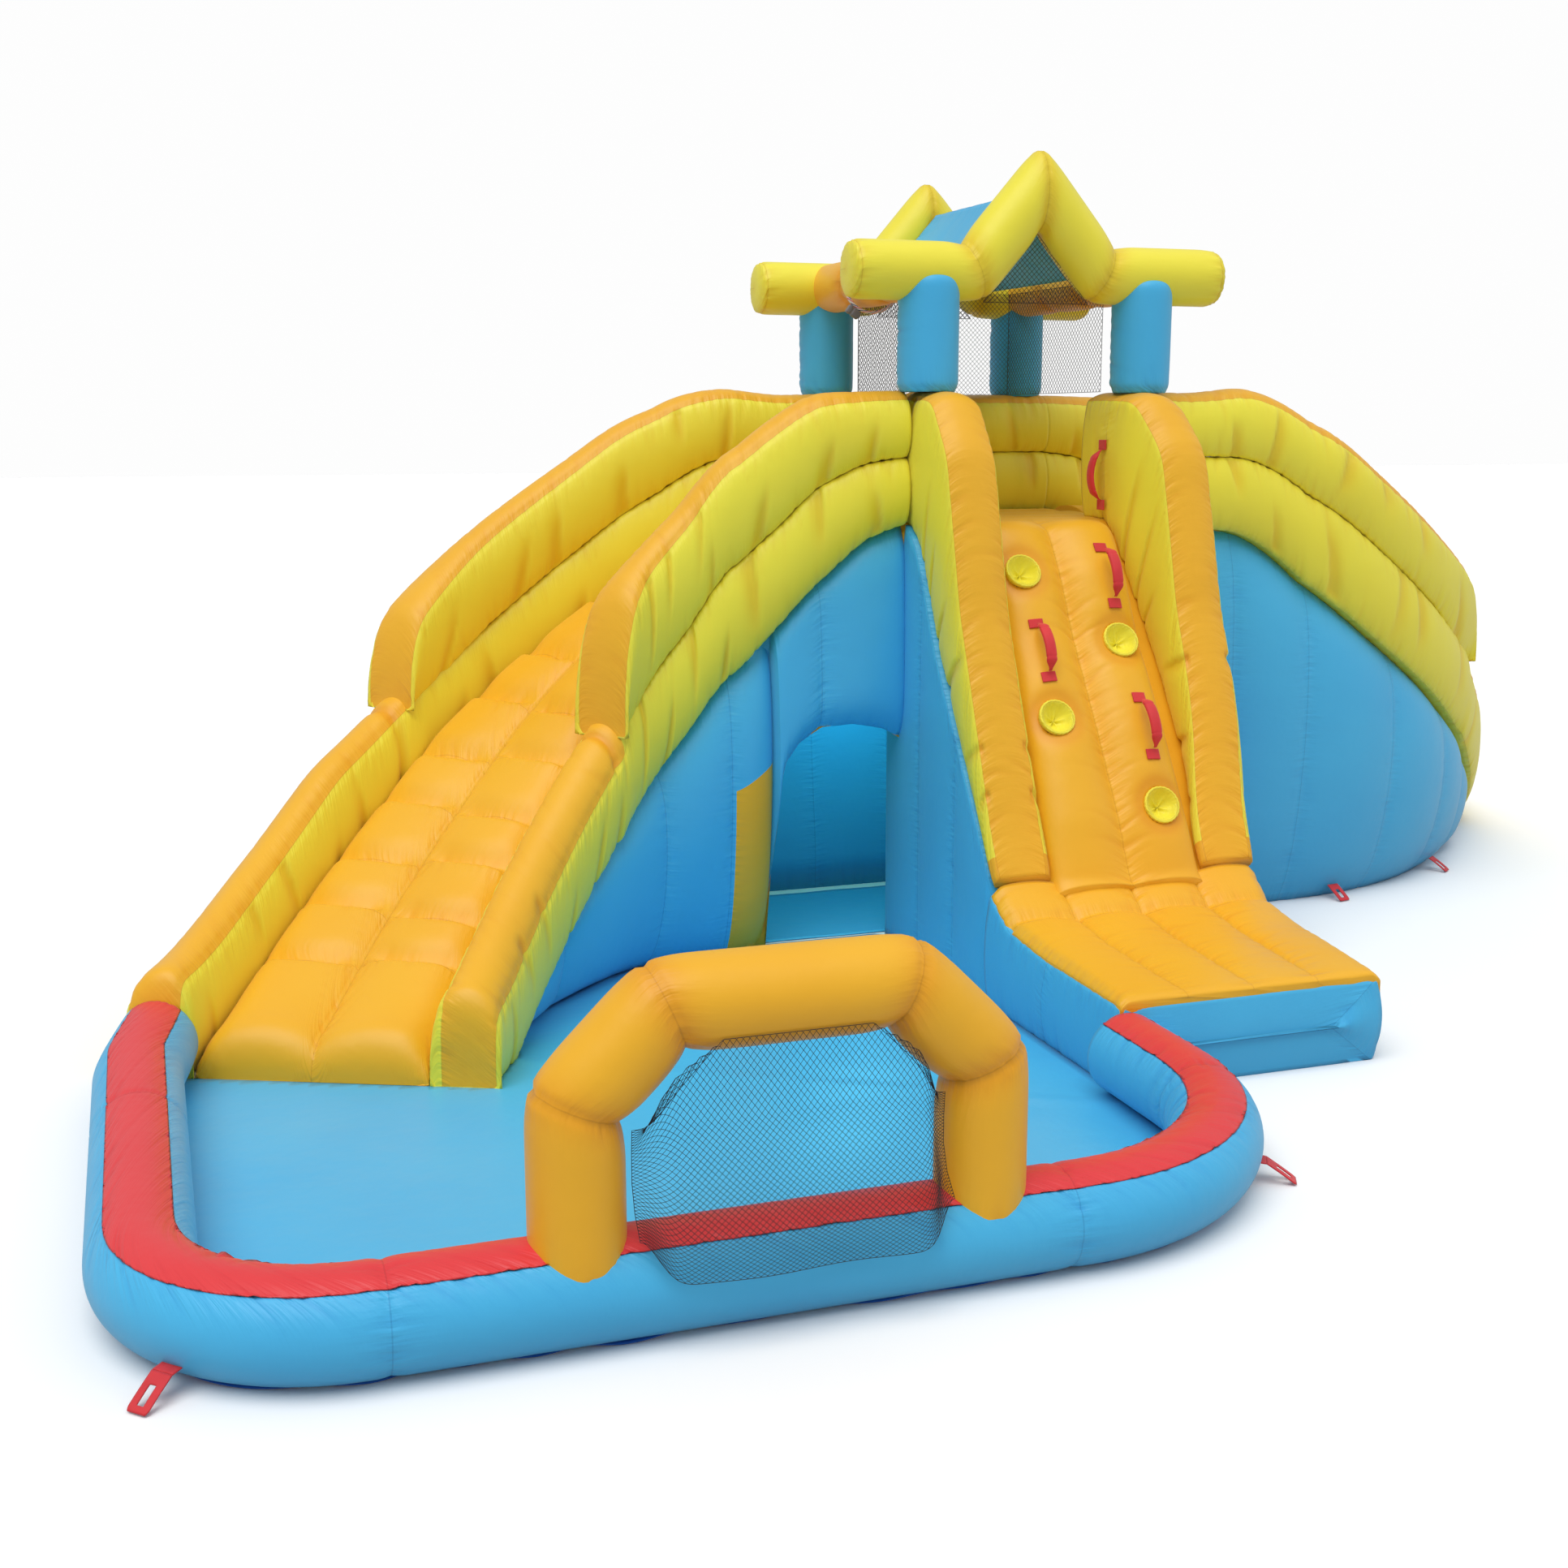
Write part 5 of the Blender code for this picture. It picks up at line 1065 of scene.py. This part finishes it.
EAVES_Z, RIDGE_Z, GABLE_Y, GABLE_HALF = 2.26, 2.53, 0.47, 0.235
for end_name, y in (("front", -GABLE_Y), ("back", GABLE_Y)):
    line = [(x, y, z) for x, z in ((-.64, EAVES_Z), (-GABLE_HALF, EAVES_Z), (0, RIDGE_Z),
                                   (GABLE_HALF, EAVES_Z), (.64, EAVES_Z))]
    tube = mitred_tube(f"roof_zigzag_{end_name}", line, 0.0945, yellow_cloth, (0, 1, 0), seed=161,
                       end_long=0.042)
    blown(tube, "yellow_cloth", f"roof_tube_{end_name}")
for side_name, x in (("left", -POST_X), ("right", POST_X)):
    line = [(x, y, EAVES_Z) for y in (-.42, -.14, .14, .42)]
    tube = mitred_tube(f"roof_side_{side_name}", line, 0.0875, orange_cloth, (1, 0, 0),
                       flat_ends=False, seed=163)
    blown(tube, "orange_cloth", f"roof_side_tube_{side_name}")

ROOF_HALF_X, ROOF_HALF_Y = 0.2375, 0.374
cloth_x = np.concatenate([np.linspace(-ROOF_HALF_X, -0.010, 24),
                          np.linspace(0.0, ROOF_HALF_X, 25)])
cloth_y = np.linspace(-ROOF_HALF_Y, ROOF_HALF_Y, 61)
slope = 1 - np.abs(cloth_x) / ROOF_HALF_X
sag = 0.020 * np.sin(math.pi * slope)[None, :] * np.sin(
    math.pi * (cloth_y + ROOF_HALF_Y) / (2 * ROOF_HALF_Y))[:, None]
z = 2.262 + 0.268 * slope[None, :] - sag + 0.0012 * np.sin(cloth_y * 40)[:, None] \
    * np.sin(math.pi * slope)[None, :]
points = lattice(cloth_x[None, :], cloth_y[:, None], z)
roof = skin("roof_cloth", points, [blue_cloth], closed=False, up=(0, 0, 1),
            long_seams=(0, 24, 48), cross_seams=(0, 60), seed=170, pucker=0.4)
single_sheet(roof, node="roof_sheet",
             thickness=0.0022)

# --- Nets ---------------------------------------------------------------------------------------
# Knotted black nets close the tower's sides and back and both gables. The cells
# stand on their corners. The photographed bindings along the nets' feet are left out.


black_net = speckled_material("black_knotted_net", (20, 20, 24), (48, 48, 54), 900, 0.7, 0.3,
                              0.0004)


def diamond_net(name, wide, high, cell, strand, place, corners=None):
    """A net of square cells on their corners, cut to an outline and hung by a place function."""
    bm = bmesh.new()
    steps = int(math.hypot(wide, high) / cell) + 2
    bmesh.ops.create_grid(bm, x_segments=steps, y_segments=steps, size=steps * cell / 2)
    bmesh.ops.rotate(bm, verts=bm.verts, cent=(0, 0, 0),
                     matrix=Matrix.Rotation(math.pi / 4, 3, "Z"))
    outline = corners or [(-wide / 2, -high / 2), (wide / 2, -high / 2), (wide / 2, high / 2),
                          (-wide / 2, high / 2)]
    for (a, b), (c, d) in zip(outline, outline[1:] + outline[:1]):
        bmesh.ops.bisect_plane(bm, geom=bm.verts[:] + bm.edges[:] + bm.faces[:],
                               plane_co=(a, b, 0), plane_no=(d - b, a - c, 0), clear_outer=True,
                               dist=0.0002)
    bmesh.ops.remove_doubles(bm, verts=bm.verts, dist=0.0006)
    spots = np.array([v.co[:2] for v in bm.verts])
    for vert, spot in zip(bm.verts, place(spots[:, 0], spots[:, 1])):
        vert.co = spot
    net = placed(name, mesh_of(bm, name, black_net))
    wire = net.modifiers.new("strands", "WIREFRAME")
    wire.thickness, wire.use_even_offset, wire.use_boundary = strand, False, True
    return net


def hang(net, node):
    """A net that stands for its CAD node and rides on the slide."""
    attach(net, "slide_body")
    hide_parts(node)


SIDE_NET_WIDE, BACK_NET_WIDE, NET_HIGH, NET_MIDDLE_Z = 0.739, 0.612, 0.37, 2.065
GABLE_NET_WIDE, GABLE_NET_HIGH = 0.386, 0.222
for side_name, x in (("left", -0.3055), ("right", 0.3055)):
    net = diamond_net(f"net_{side_name}_strands", SIDE_NET_WIDE, NET_HIGH, 0.0150, 0.0018,
                      lambda u, v, x=x: lattice(x, u, NET_MIDDLE_Z + v))
    hang(net, f"net_{side_name}")
net = diamond_net("net_back_strands", BACK_NET_WIDE, NET_HIGH, 0.0125, 0.0018,
                  lambda u, v: lattice(u, 0.372, NET_MIDDLE_Z + v))
hang(net, "net_back")
for end_name, y in (("front", -GABLE_Y), ("back", GABLE_Y)):
    net = diamond_net(f"gable_net_{end_name}_strands", GABLE_NET_WIDE, GABLE_NET_HIGH, 0.0125,
                      0.0024, lambda u, v, y=y: lattice(u, y, 2.2763 + v),
                      corners=[(-.193, -.111), (.193, -.111), (0, .111)])
    hang(net, f"gable_net_{end_name}")

# --- Pool rim and pool floor --------------------------------------------------------------------
# One round blown tube runs round the splash pool from the ramp to the left chute's foot: blue, with
# a red strip sewn in along its top and a hem on the ground, dark blue as painted shade under the
# tube. A lighter blue sheet is the floor.


def pool_route():
    """Centre line of the rim every centimetre or so, and the outward direction there."""
    end, out = route(np.array([CHUTE_RUN]))
    last = end[0] + out[0] * (BED_HALF + 0.1)
    line = [((-.45, -2.0153), (1, 0)), ((-.45, -2.30), (1, 0))]
    for centre, radius, start in (((-1.05, -2.30), 0.60, 0), ((-2.56, -2.50), 0.40, -90)):
        for a in np.radians(np.linspace(start, start - 90, 31)):
            line.append(((centre[0] + radius * math.cos(a), centre[1] + radius * math.sin(a)),
                         (math.cos(a), math.sin(a))))
    line += [((-2.96, last[1] - 0.32), (-1, 0)), (tuple(last), tuple(out[0]))]
    spots, outs = np.array([p for p, _ in line]), np.array([o for _, o in line])
    gone = np.concatenate([[0], np.cumsum(np.linalg.norm(np.diff(spots, axis=0), axis=1))])
    places = np.arange(0, gone[-1], 0.0125)
    spots, outs = (bent(np.stack([np.interp(places, gone, line[:, k]) for k in (0, 1)], -1), 5)
                   for line in (spots, outs))
    return places, spots, outs / np.linalg.norm(outs, axis=1, keepdims=True)


rim_places, rim_line, rim_out = pool_route()
RIM_RADIUS, SEAM_ANGLE = 0.112, math.radians(38)
bag = np.linspace(SEAM_ANGLE, math.tau - SEAM_ANGLE, 54)
strip = np.linspace(-SEAM_ANGLE, SEAM_ANGLE, 29)
lid = np.linspace(1, -1, 10)[1:-1] * math.sin(SEAM_ANGLE)
wall_ring = np.concatenate([np.stack([np.sin(bag), np.cos(bag)], -1),
                            np.stack([-lid, 0 * lid + math.cos(SEAM_ANGLE)], -1)])
cap_ring = np.concatenate([np.stack([np.sin(strip), np.cos(strip)], -1) * 1.004,
                           np.stack([lid, 0 * lid + math.cos(SEAM_ANGLE) + 0.015], -1)])
red_cloth = coated_cloth("red_coated_cloth", (228, 58, 62), (206, 36, 46))
bead_rows = [int(np.argmin(((rim_line - spot) ** 2).sum(1))) for spot in
             np.array([(-.47, -2.42), (-1.10, -2.90), (-2.52, -2.90), (-2.96, -1.78)])]
dip = sum(bell(rim_places, rim_places[row], 0.012) for row in bead_rows)[:, None]
inner_turn = (bell(rim_places, 0.76, 0.30) + bell(rim_places, 3.05, 0.22))[:, None]
for name, ring, cloth, node, edges, seed in (
        ("pool_wall_tube", wall_ring, blue_cloth, "pool_wall", (0, 53), 181),
        ("pool_rim_tube", cap_ring, red_cloth, "pool_rim_cap", (0, 28), 183)):
    grown = RIM_RADIUS * (1 - 0.035 * dip)
    reach = grown * ring[None, :, 0]
    height = np.maximum(RIM_RADIUS - 0.001 + grown * ring[None, :, 1] * 0.995, 0.0005)
    spots = rim_line[:, None, :] + rim_out[:, None, :] * reach[..., None]
    points = np.concatenate([spots, height[..., None]], -1)
    gather = creases(rim_places[:, None] + 0 * reach, np.abs(reach + 0.10), 185, gap=0.04,
                     depth=0.010, reach=0.08, width=0.010) * inner_turn * (reach < 0)
    rim = skin(name, points, [cloth], long_seams=edges, cross_seams=bead_rows, seed=seed,
               sink=gather, pucker=0.9, gap=0.050, reach=0.06)
    blown(rim, "red_cloth" if cloth is red_cloth else "blue_cloth", node)

# The hem's dark blue is painted shade for the crease under the round tube, where the strip lies.
hem_painted_shade_blue = coated_cloth("hem_blue_cloth", (34, 104, 196), (18, 76, 168), 0.5)
hem_out = np.linspace(0.0, 0.040, 6)
wave = 0.006 * np.sin(rim_places * 9) + 0.004 * np.sin(rim_places * 23 + 1)
spots = rim_line[:, None, :] + rim_out[:, None, :] * (
    hem_out[None, :] + wave[:, None] * (hem_out / 0.04)[None, :])[..., None]
lift = 0.0032 + 0.0035 * (1 + np.sin(rim_places * 31 + 2 * np.sin(rim_places * 5)))[:, None] \
    * (hem_out / 0.04)[None, :] ** 2
hem = skin("pool_wall_hem_painted_shade", np.concatenate([spots, lift[..., None]], -1), [hem_painted_shade_blue],
           closed=False, up=(0, 0, 1), sewn=False)
single_sheet(hem)


def inside_outline(outline, x, y):
    """Which of the points lie inside a closed outline on the ground."""
    inside = np.zeros(x.shape, bool)
    for (a, b), (c, d) in zip(outline, np.roll(outline, -1, 0)):
        crosses = (b > y) != (d > y)
        inside ^= crosses & (x < (c - a) * (y - b) / np.where(d == b, 1e-9, d - b) + a)
    return inside


edge_runs = np.linspace(CHUTE_RUN, 0.06, 90)
chute_edge = beside(edge_runs, -np.interp(edge_runs, (.55, .65, 2.1, 2.3),
                                          (.33, .385, .385, .49))[:, None],
                    np.zeros((90, 1)))[:, 0, :2]
shore = np.concatenate([rim_line - rim_out * 0.030, chute_edge, [(-.4673, -.33)],
                        [(-.4673, -2.0153)]])
bm = bmesh.new()
bmesh.ops.create_grid(bm, x_segments=104, y_segments=100, size=1)
for vert in bm.verts:
    vert.co = (-1.72 + vert.co.x * 1.32, -1.63 + vert.co.y * 1.27, 0)
centres = np.array([f.calc_center_median()[:2] for f in bm.faces])
kept = inside_outline(shore, centres[:, 0], centres[:, 1])
bmesh.ops.delete(bm, geom=[f for f, keep in zip(bm.faces, kept) if not keep], context="FACES")
for vert in bm.verts:
    if vert.is_boundary:
        spot = np.array(vert.co[:2])
        start, step = shore, np.roll(shore, -1, 0) - shore
        t = np.clip(((spot - start) * step).sum(1) / np.maximum((step ** 2).sum(1), 1e-9), 0, 1)
        nearest = start + step * t[:, None]
        vert.co = (*nearest[np.argmin(((nearest - spot) ** 2).sum(1))], 0)
flat = bm.loops.layers.uv.new("cloth")
dice = np.random.default_rng(190)
waves = [(dice.uniform(0, math.tau), dice.uniform(5, 16), dice.uniform(0, math.tau))
         for _ in range(14)]
for face in bm.faces:
    for loop in face.loops:
        loop[flat].uv = loop.vert.co[:2]
for vert in bm.verts:
    x, y = vert.co[:2]
    swell = sum(math.sin(k * (x * math.cos(a) + y * math.sin(a)) + p) for a, k, p in waves) / 14
    vert.co.z = 0.0034 + 0.0025 * swell + 0.0045 * math.exp(-((x * 0.6 + y + 2.42) / 0.03) ** 2)
mesh = mesh_of(bm, "pool_floor_sheet", pool_sheet_cloth)
for label in ("long_seam", "cross_seam"):
    mesh.attributes.new(label, "FLOAT", "POINT").data.foreach_set(
        "value", np.full(len(mesh.vertices), 9.0, np.float32))
mesh.attributes.new("sunk", "FLOAT", "POINT")
mesh.shade_smooth()
single_sheet(placed("pool_floor_sheet", mesh),
             node="pool_floor")

# --- Goal ---------------------------------------------------------------------------------------
# An orange blown goal frame stands astride the rim, stitched at its mitres. Behind it hangs a
# fine black net that reaches down outside the rim.
goal_line = [(-2.15, -2.90, 0.150), (-2.15, -2.90, 0.49), (-1.97, -2.90, 0.67),
             (-1.47, -2.90, 0.67), (-1.29, -2.90, 0.49), (-1.29, -2.90, 0.150)]
goal = mitred_tube("goal_tube", goal_line, 0.0973, orange_cloth, (0, 1, 0), seed=201)
blown(goal, "orange_cloth", "goal_frame")

GOAL_NET_YZ = np.array([(-2.9862, .6174), (-2.995, .46), (-3.025, .34), (-3.045, .23),
                        (-3.045, .15)])
GOAL_SIDE_YZ = np.array([(-2.945, .44), (-2.94, .39), (-2.94, .33), (-2.96, .275), (-3.00, .2322)])


def goal_net_place(u, v):
    """Where a point of the net's flat cut hangs: u across the goal, v down from the bar."""
    half = 0.328
    down = np.clip((0.24 - v) / 0.48, 0, 1) * 4
    y, z = (np.interp(down, range(5), GOAL_NET_YZ[:, k]) for k in (0, 1))
    side_y, side_z = (np.interp(down, range(5), GOAL_SIDE_YZ[:, k]) for k in (0, 1))
    from_side = half - np.abs(u)
    lowered = np.minimum(z, 0.445 + np.clip(from_side, 0, 1) + down * 0.1)
    edge = bell(from_side, 0, 0.045)
    sway = 0.006 * np.sin(u * 18) * np.clip(down / 4, 0, 1)
    return np.stack([-1.72 + u, y + (side_y - y) * edge + sway,
                     lowered + (side_z - lowered) * edge], -1)


net = diamond_net("goal_net_strands", 0.656, 0.48, 0.0096, 0.0015, goal_net_place)
hang(net, "goal_net")

# --- Ground loops -------------------------------------------------------------------------------
# Red webbing flaps sewn to the foot of the slide, each with a slot for a stake. They droop from
# their stitch line and can be lifted.
FLAP_LONG, FLAP_HALF, FLAP_DROOP = 0.0845, 0.0248, math.radians(34)
ROOT_LONG, ROOT_HALF = 0.038, 0.0246
UP = np.array([0, 0, 1.0])


def webbing_grid(name, columns, place, uv_long, hole=None):
    """A flat grid of webbing bent by a place function, with an opening where hole says so."""
    bm = bmesh.new()
    bmesh.ops.create_grid(bm, x_segments=columns, y_segments=12, size=1)
    if hole:
        bmesh.ops.delete(bm, geom=[f for f in bm.faces if hole(f.calc_center_median())],
                         context="FACES")
    flat = bm.loops.layers.uv.new("cloth")
    for face in bm.faces:
        for loop in face.loops:
            loop[flat].uv = (loop.vert.co.y * 0.025, loop.vert.co.x * uv_long)
    for vert in bm.verts:
        vert.co = place(vert.co.x, vert.co.y)
    mesh = mesh_of(bm, name, red_webbing)
    mesh.shade_smooth()
    return placed(name, mesh)


for number in range(1, 7):
    node = f"ground_loop_{number}"
    stitch_line = np.array(hinges[node]["pos_m"], float)
    axis = np.array(hinges[node]["axis"], float)
    out = np.array([-axis[1], axis[0], 0.0])
    along = out * math.cos(FLAP_DROOP) - np.array([0, 0, math.sin(FLAP_DROOP)])
    across = np.array([out[1], -out[0], 0.0])

    def flap_point(x, y):
        u, v = (x + 1) / 2, y
        corner = max(u - 0.86, 0) / 0.14
        v *= 1 - 0.16 * corner ** 2 * abs(v)
        curl = 0.0014 * math.sin(math.pi * u) * (1 + 0.5 * math.sin(3 * v + number))
        return stitch_line + along * (FLAP_LONG * u) + across * (v * FLAP_HALF) + UP * curl

    flap = webbing_grid(f"ground_flap_{number}", 18, flap_point, 0.0425,
                        hole=lambda at: -0.38 < at.x < 0.66 and abs(at.y) < 0.34)
    single_sheet(flap, node=node, body=node,
                 thickness=0.0028, offset=0)
    if number > 2:
        continue

    # The pool wall is round, so a root of webbing reaches in under it to the stitch line.
    def root_point(x, y):
        inward = 0.001 + ROOT_LONG / 2 * (1 - x)
        return stitch_line - out * inward + across * (y * ROOT_HALF) + UP * 0.10 * inward

    root = webbing_grid(f"ground_flap_root_{number}", 8, root_point, 0.019)
    single_sheet(root, thickness=0.0028, offset=0)

# --- Hose loop and clip -------------------------------------------------------------------------
# The striped water hose makes a closed loop round the left roof tube, in white, pink and blue. A
# grey plastic clip is closed over it.


def striped_cord_material():
    """White, pink and blue bands that wind round the cord, with a fine weave."""
    material, nodes, links, shader = blank_material("striped_hose_cord")
    flat = nodes.new("ShaderNodeUVMap")
    flat.uv_map = "cloth"
    lay = nodes.new("ShaderNodeMapping")
    lay.inputs["Rotation"].default_value = (0, 0, math.radians(38))
    links.new(flat.outputs[0], lay.inputs["Vector"])
    bands = nodes.new("ShaderNodeTexWave")
    bands.bands_direction = "X"
    bands.wave_profile = "SAW"
    bands.inputs["Scale"].default_value = 14
    links.new(lay.outputs[0], bands.inputs["Vector"])
    ramp = nodes.new("ShaderNodeValToRGB")
    ramp.color_ramp.interpolation = "CONSTANT"
    ramp.color_ramp.elements[0].color = (0.86, 0.86, 0.88, 1)
    ramp.color_ramp.elements[1].position = 0.42
    ramp.color_ramp.elements[1].color = (*linear(226, 110, 140), 1)
    for place, colour in ((0.62, (0.86, 0.86, 0.88, 1)), (0.82, (*linear(52, 84, 160), 1))):
        ramp.color_ramp.elements.new(place).color = colour
    links.new(bands.outputs["Fac"], ramp.inputs["Fac"])
    links.new(ramp.outputs["Color"], shader.inputs["Base Color"])
    weave = nodes.new("ShaderNodeTexWave")
    weave.inputs["Scale"].default_value = 160
    links.new(flat.outputs[0], weave.inputs["Vector"])
    bump = nodes.new("ShaderNodeBump")
    bump.inputs["Strength"].default_value = 0.3
    bump.inputs["Distance"].default_value = 0.0004
    links.new(weave.outputs["Fac"], bump.inputs["Height"])
    links.new(bump.outputs[0], shader.inputs["Normal"])
    shader.inputs["Roughness"].default_value = 0.5
    return material


striped_cord = striped_cord_material()
around = np.linspace(0, math.tau, 161)
tiny = np.linspace(0, math.tau, 14, endpoint=False)
spoke = np.stack([np.cos(around), 0 * around, np.sin(around)], -1)
loop_centre = np.array([-POST_X, 0.02, 2.2546])
points = loop_centre + spoke[:, None, :] * (0.100 + 0.0058 * np.cos(tiny))[None, :, None]
points[..., 1] += 0.0058 * np.sin(tiny)[None, :] + 0.004 * np.sin(2 * around)[:, None]
hose = skin("striped_hose_ring", points, [striped_cord], sewn=False)
bm = bmesh.new()
bm.from_mesh(hose.data)
caps = [f for f in bm.faces if len(f.verts) > 4]
bmesh.ops.delete(bm, geom=caps, context="FACES")
bmesh.ops.remove_doubles(bm, verts=bm.verts, dist=0.00002)
bm.to_mesh(hose.data)
bm.free()
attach(hose, "slide_body")
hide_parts("hose_loop")

grey = speckled_material("grey_moulded_clip", (126, 128, 134), (106, 108, 114), 420, 0.42, 0.25,
                         0.0003)
clip_turn = math.radians(235)
clip_out = np.array([math.cos(clip_turn), 0, math.sin(clip_turn)])
clip_along = np.array([-clip_out[2], 0, clip_out[0]])
clip_place = loop_centre + clip_out * 0.1223
u = np.linspace(0, math.tau, 32, endpoint=False)
rows = np.array([(0.10, -.0258), (0.86, -.0250), (1.0, -.0215), (1.0, -.0120), (0.86, -.0105),
                 (0.86, -.0040), (1.0, -.0025), (1.0, .0120), (0.93, .0140), (0.93, .0215),
                 (0.80, .0250), (0.10, .0258)])
flat_u = np.sign(np.cos(u)) * np.abs(np.cos(u)) ** 0.45
flat_v = np.sign(np.sin(u)) * np.abs(np.sin(u)) ** 0.45
points = clip_place + clip_along * rows[:, 1][:, None, None] \
    + clip_out * (rows[:, :1] * 0.0155 * flat_u)[..., None] \
    + np.array([0, 1.0, 0]) * (rows[:, :1] * 0.0108 * flat_v)[..., None]
clip = skin("hose_clip_body", points, [grey], sewn=False)
soft = clip.modifiers.new("soft_edges", "BEVEL")
soft.width, soft.segments, soft.limit_method = 0.0008, 2, "ANGLE"
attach(clip, "slide_body")
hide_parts("hose_clip")

# --- Blower sleeve --------------------------------------------------------------------------------
# A slack blue cloth sleeve at the back, drawn in near its end, where the blower is tied on. It
# isn't in the photograph.
TIE_PLACE = 0.84  # the share of the sleeve's length where it is drawn in
sleeve_low, sleeve_high = (np.array(c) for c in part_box("blower_sleeve"))
y = np.concatenate([np.arange(sleeve_low[1] - 0.012, sleeve_high[1] - 0.012, 0.008),
                    sleeve_high[1] - 0.012 + 0.010 * np.linspace(0, 1, 6)])
turn = np.linspace(0, math.tau, 64, endpoint=False)
gone = (y - y[0]) / (y[-1] - y[0])
pinch = 1 - 0.10 * bell(gone, TIE_PLACE, 0.025)
mouth = np.ones(len(y))
mouth[-6:] = np.sqrt(1 - np.linspace(0, 0.995, 6) ** 4)
radius = 0.0735 * pinch[:, None] * mouth[:, None] * (
    1 - 0.02 * np.cos(9 * turn[None, :]) * bell(gone[:, None], TIE_PLACE, 0.09))
slack = 0.004 * np.sin(y[:, None] * 60 + 2 * np.sin(turn[None, :])) * np.sin(
    math.pi * gone)[:, None]
points = np.stack([0.20 + (radius + slack * 0.5) * np.cos(turn)[None, :],
                   y[:, None] + 0 * turn[None, :],
                   0.0748 + (radius - np.abs(slack) * 0.3) * np.sin(turn)[None, :]], -1)
points[..., 2] = np.maximum(points[..., 2], 0.001)
sleeve = skin("blower_sleeve_cloth", points, [blue_cloth], long_seams=(48,),
              cross_seams=(2, int(np.argmin(np.abs(gone - TIE_PLACE)))), seed=211, pucker=1.0)
blown(sleeve, "blue_cloth", "blower_sleeve", fill=0.5)
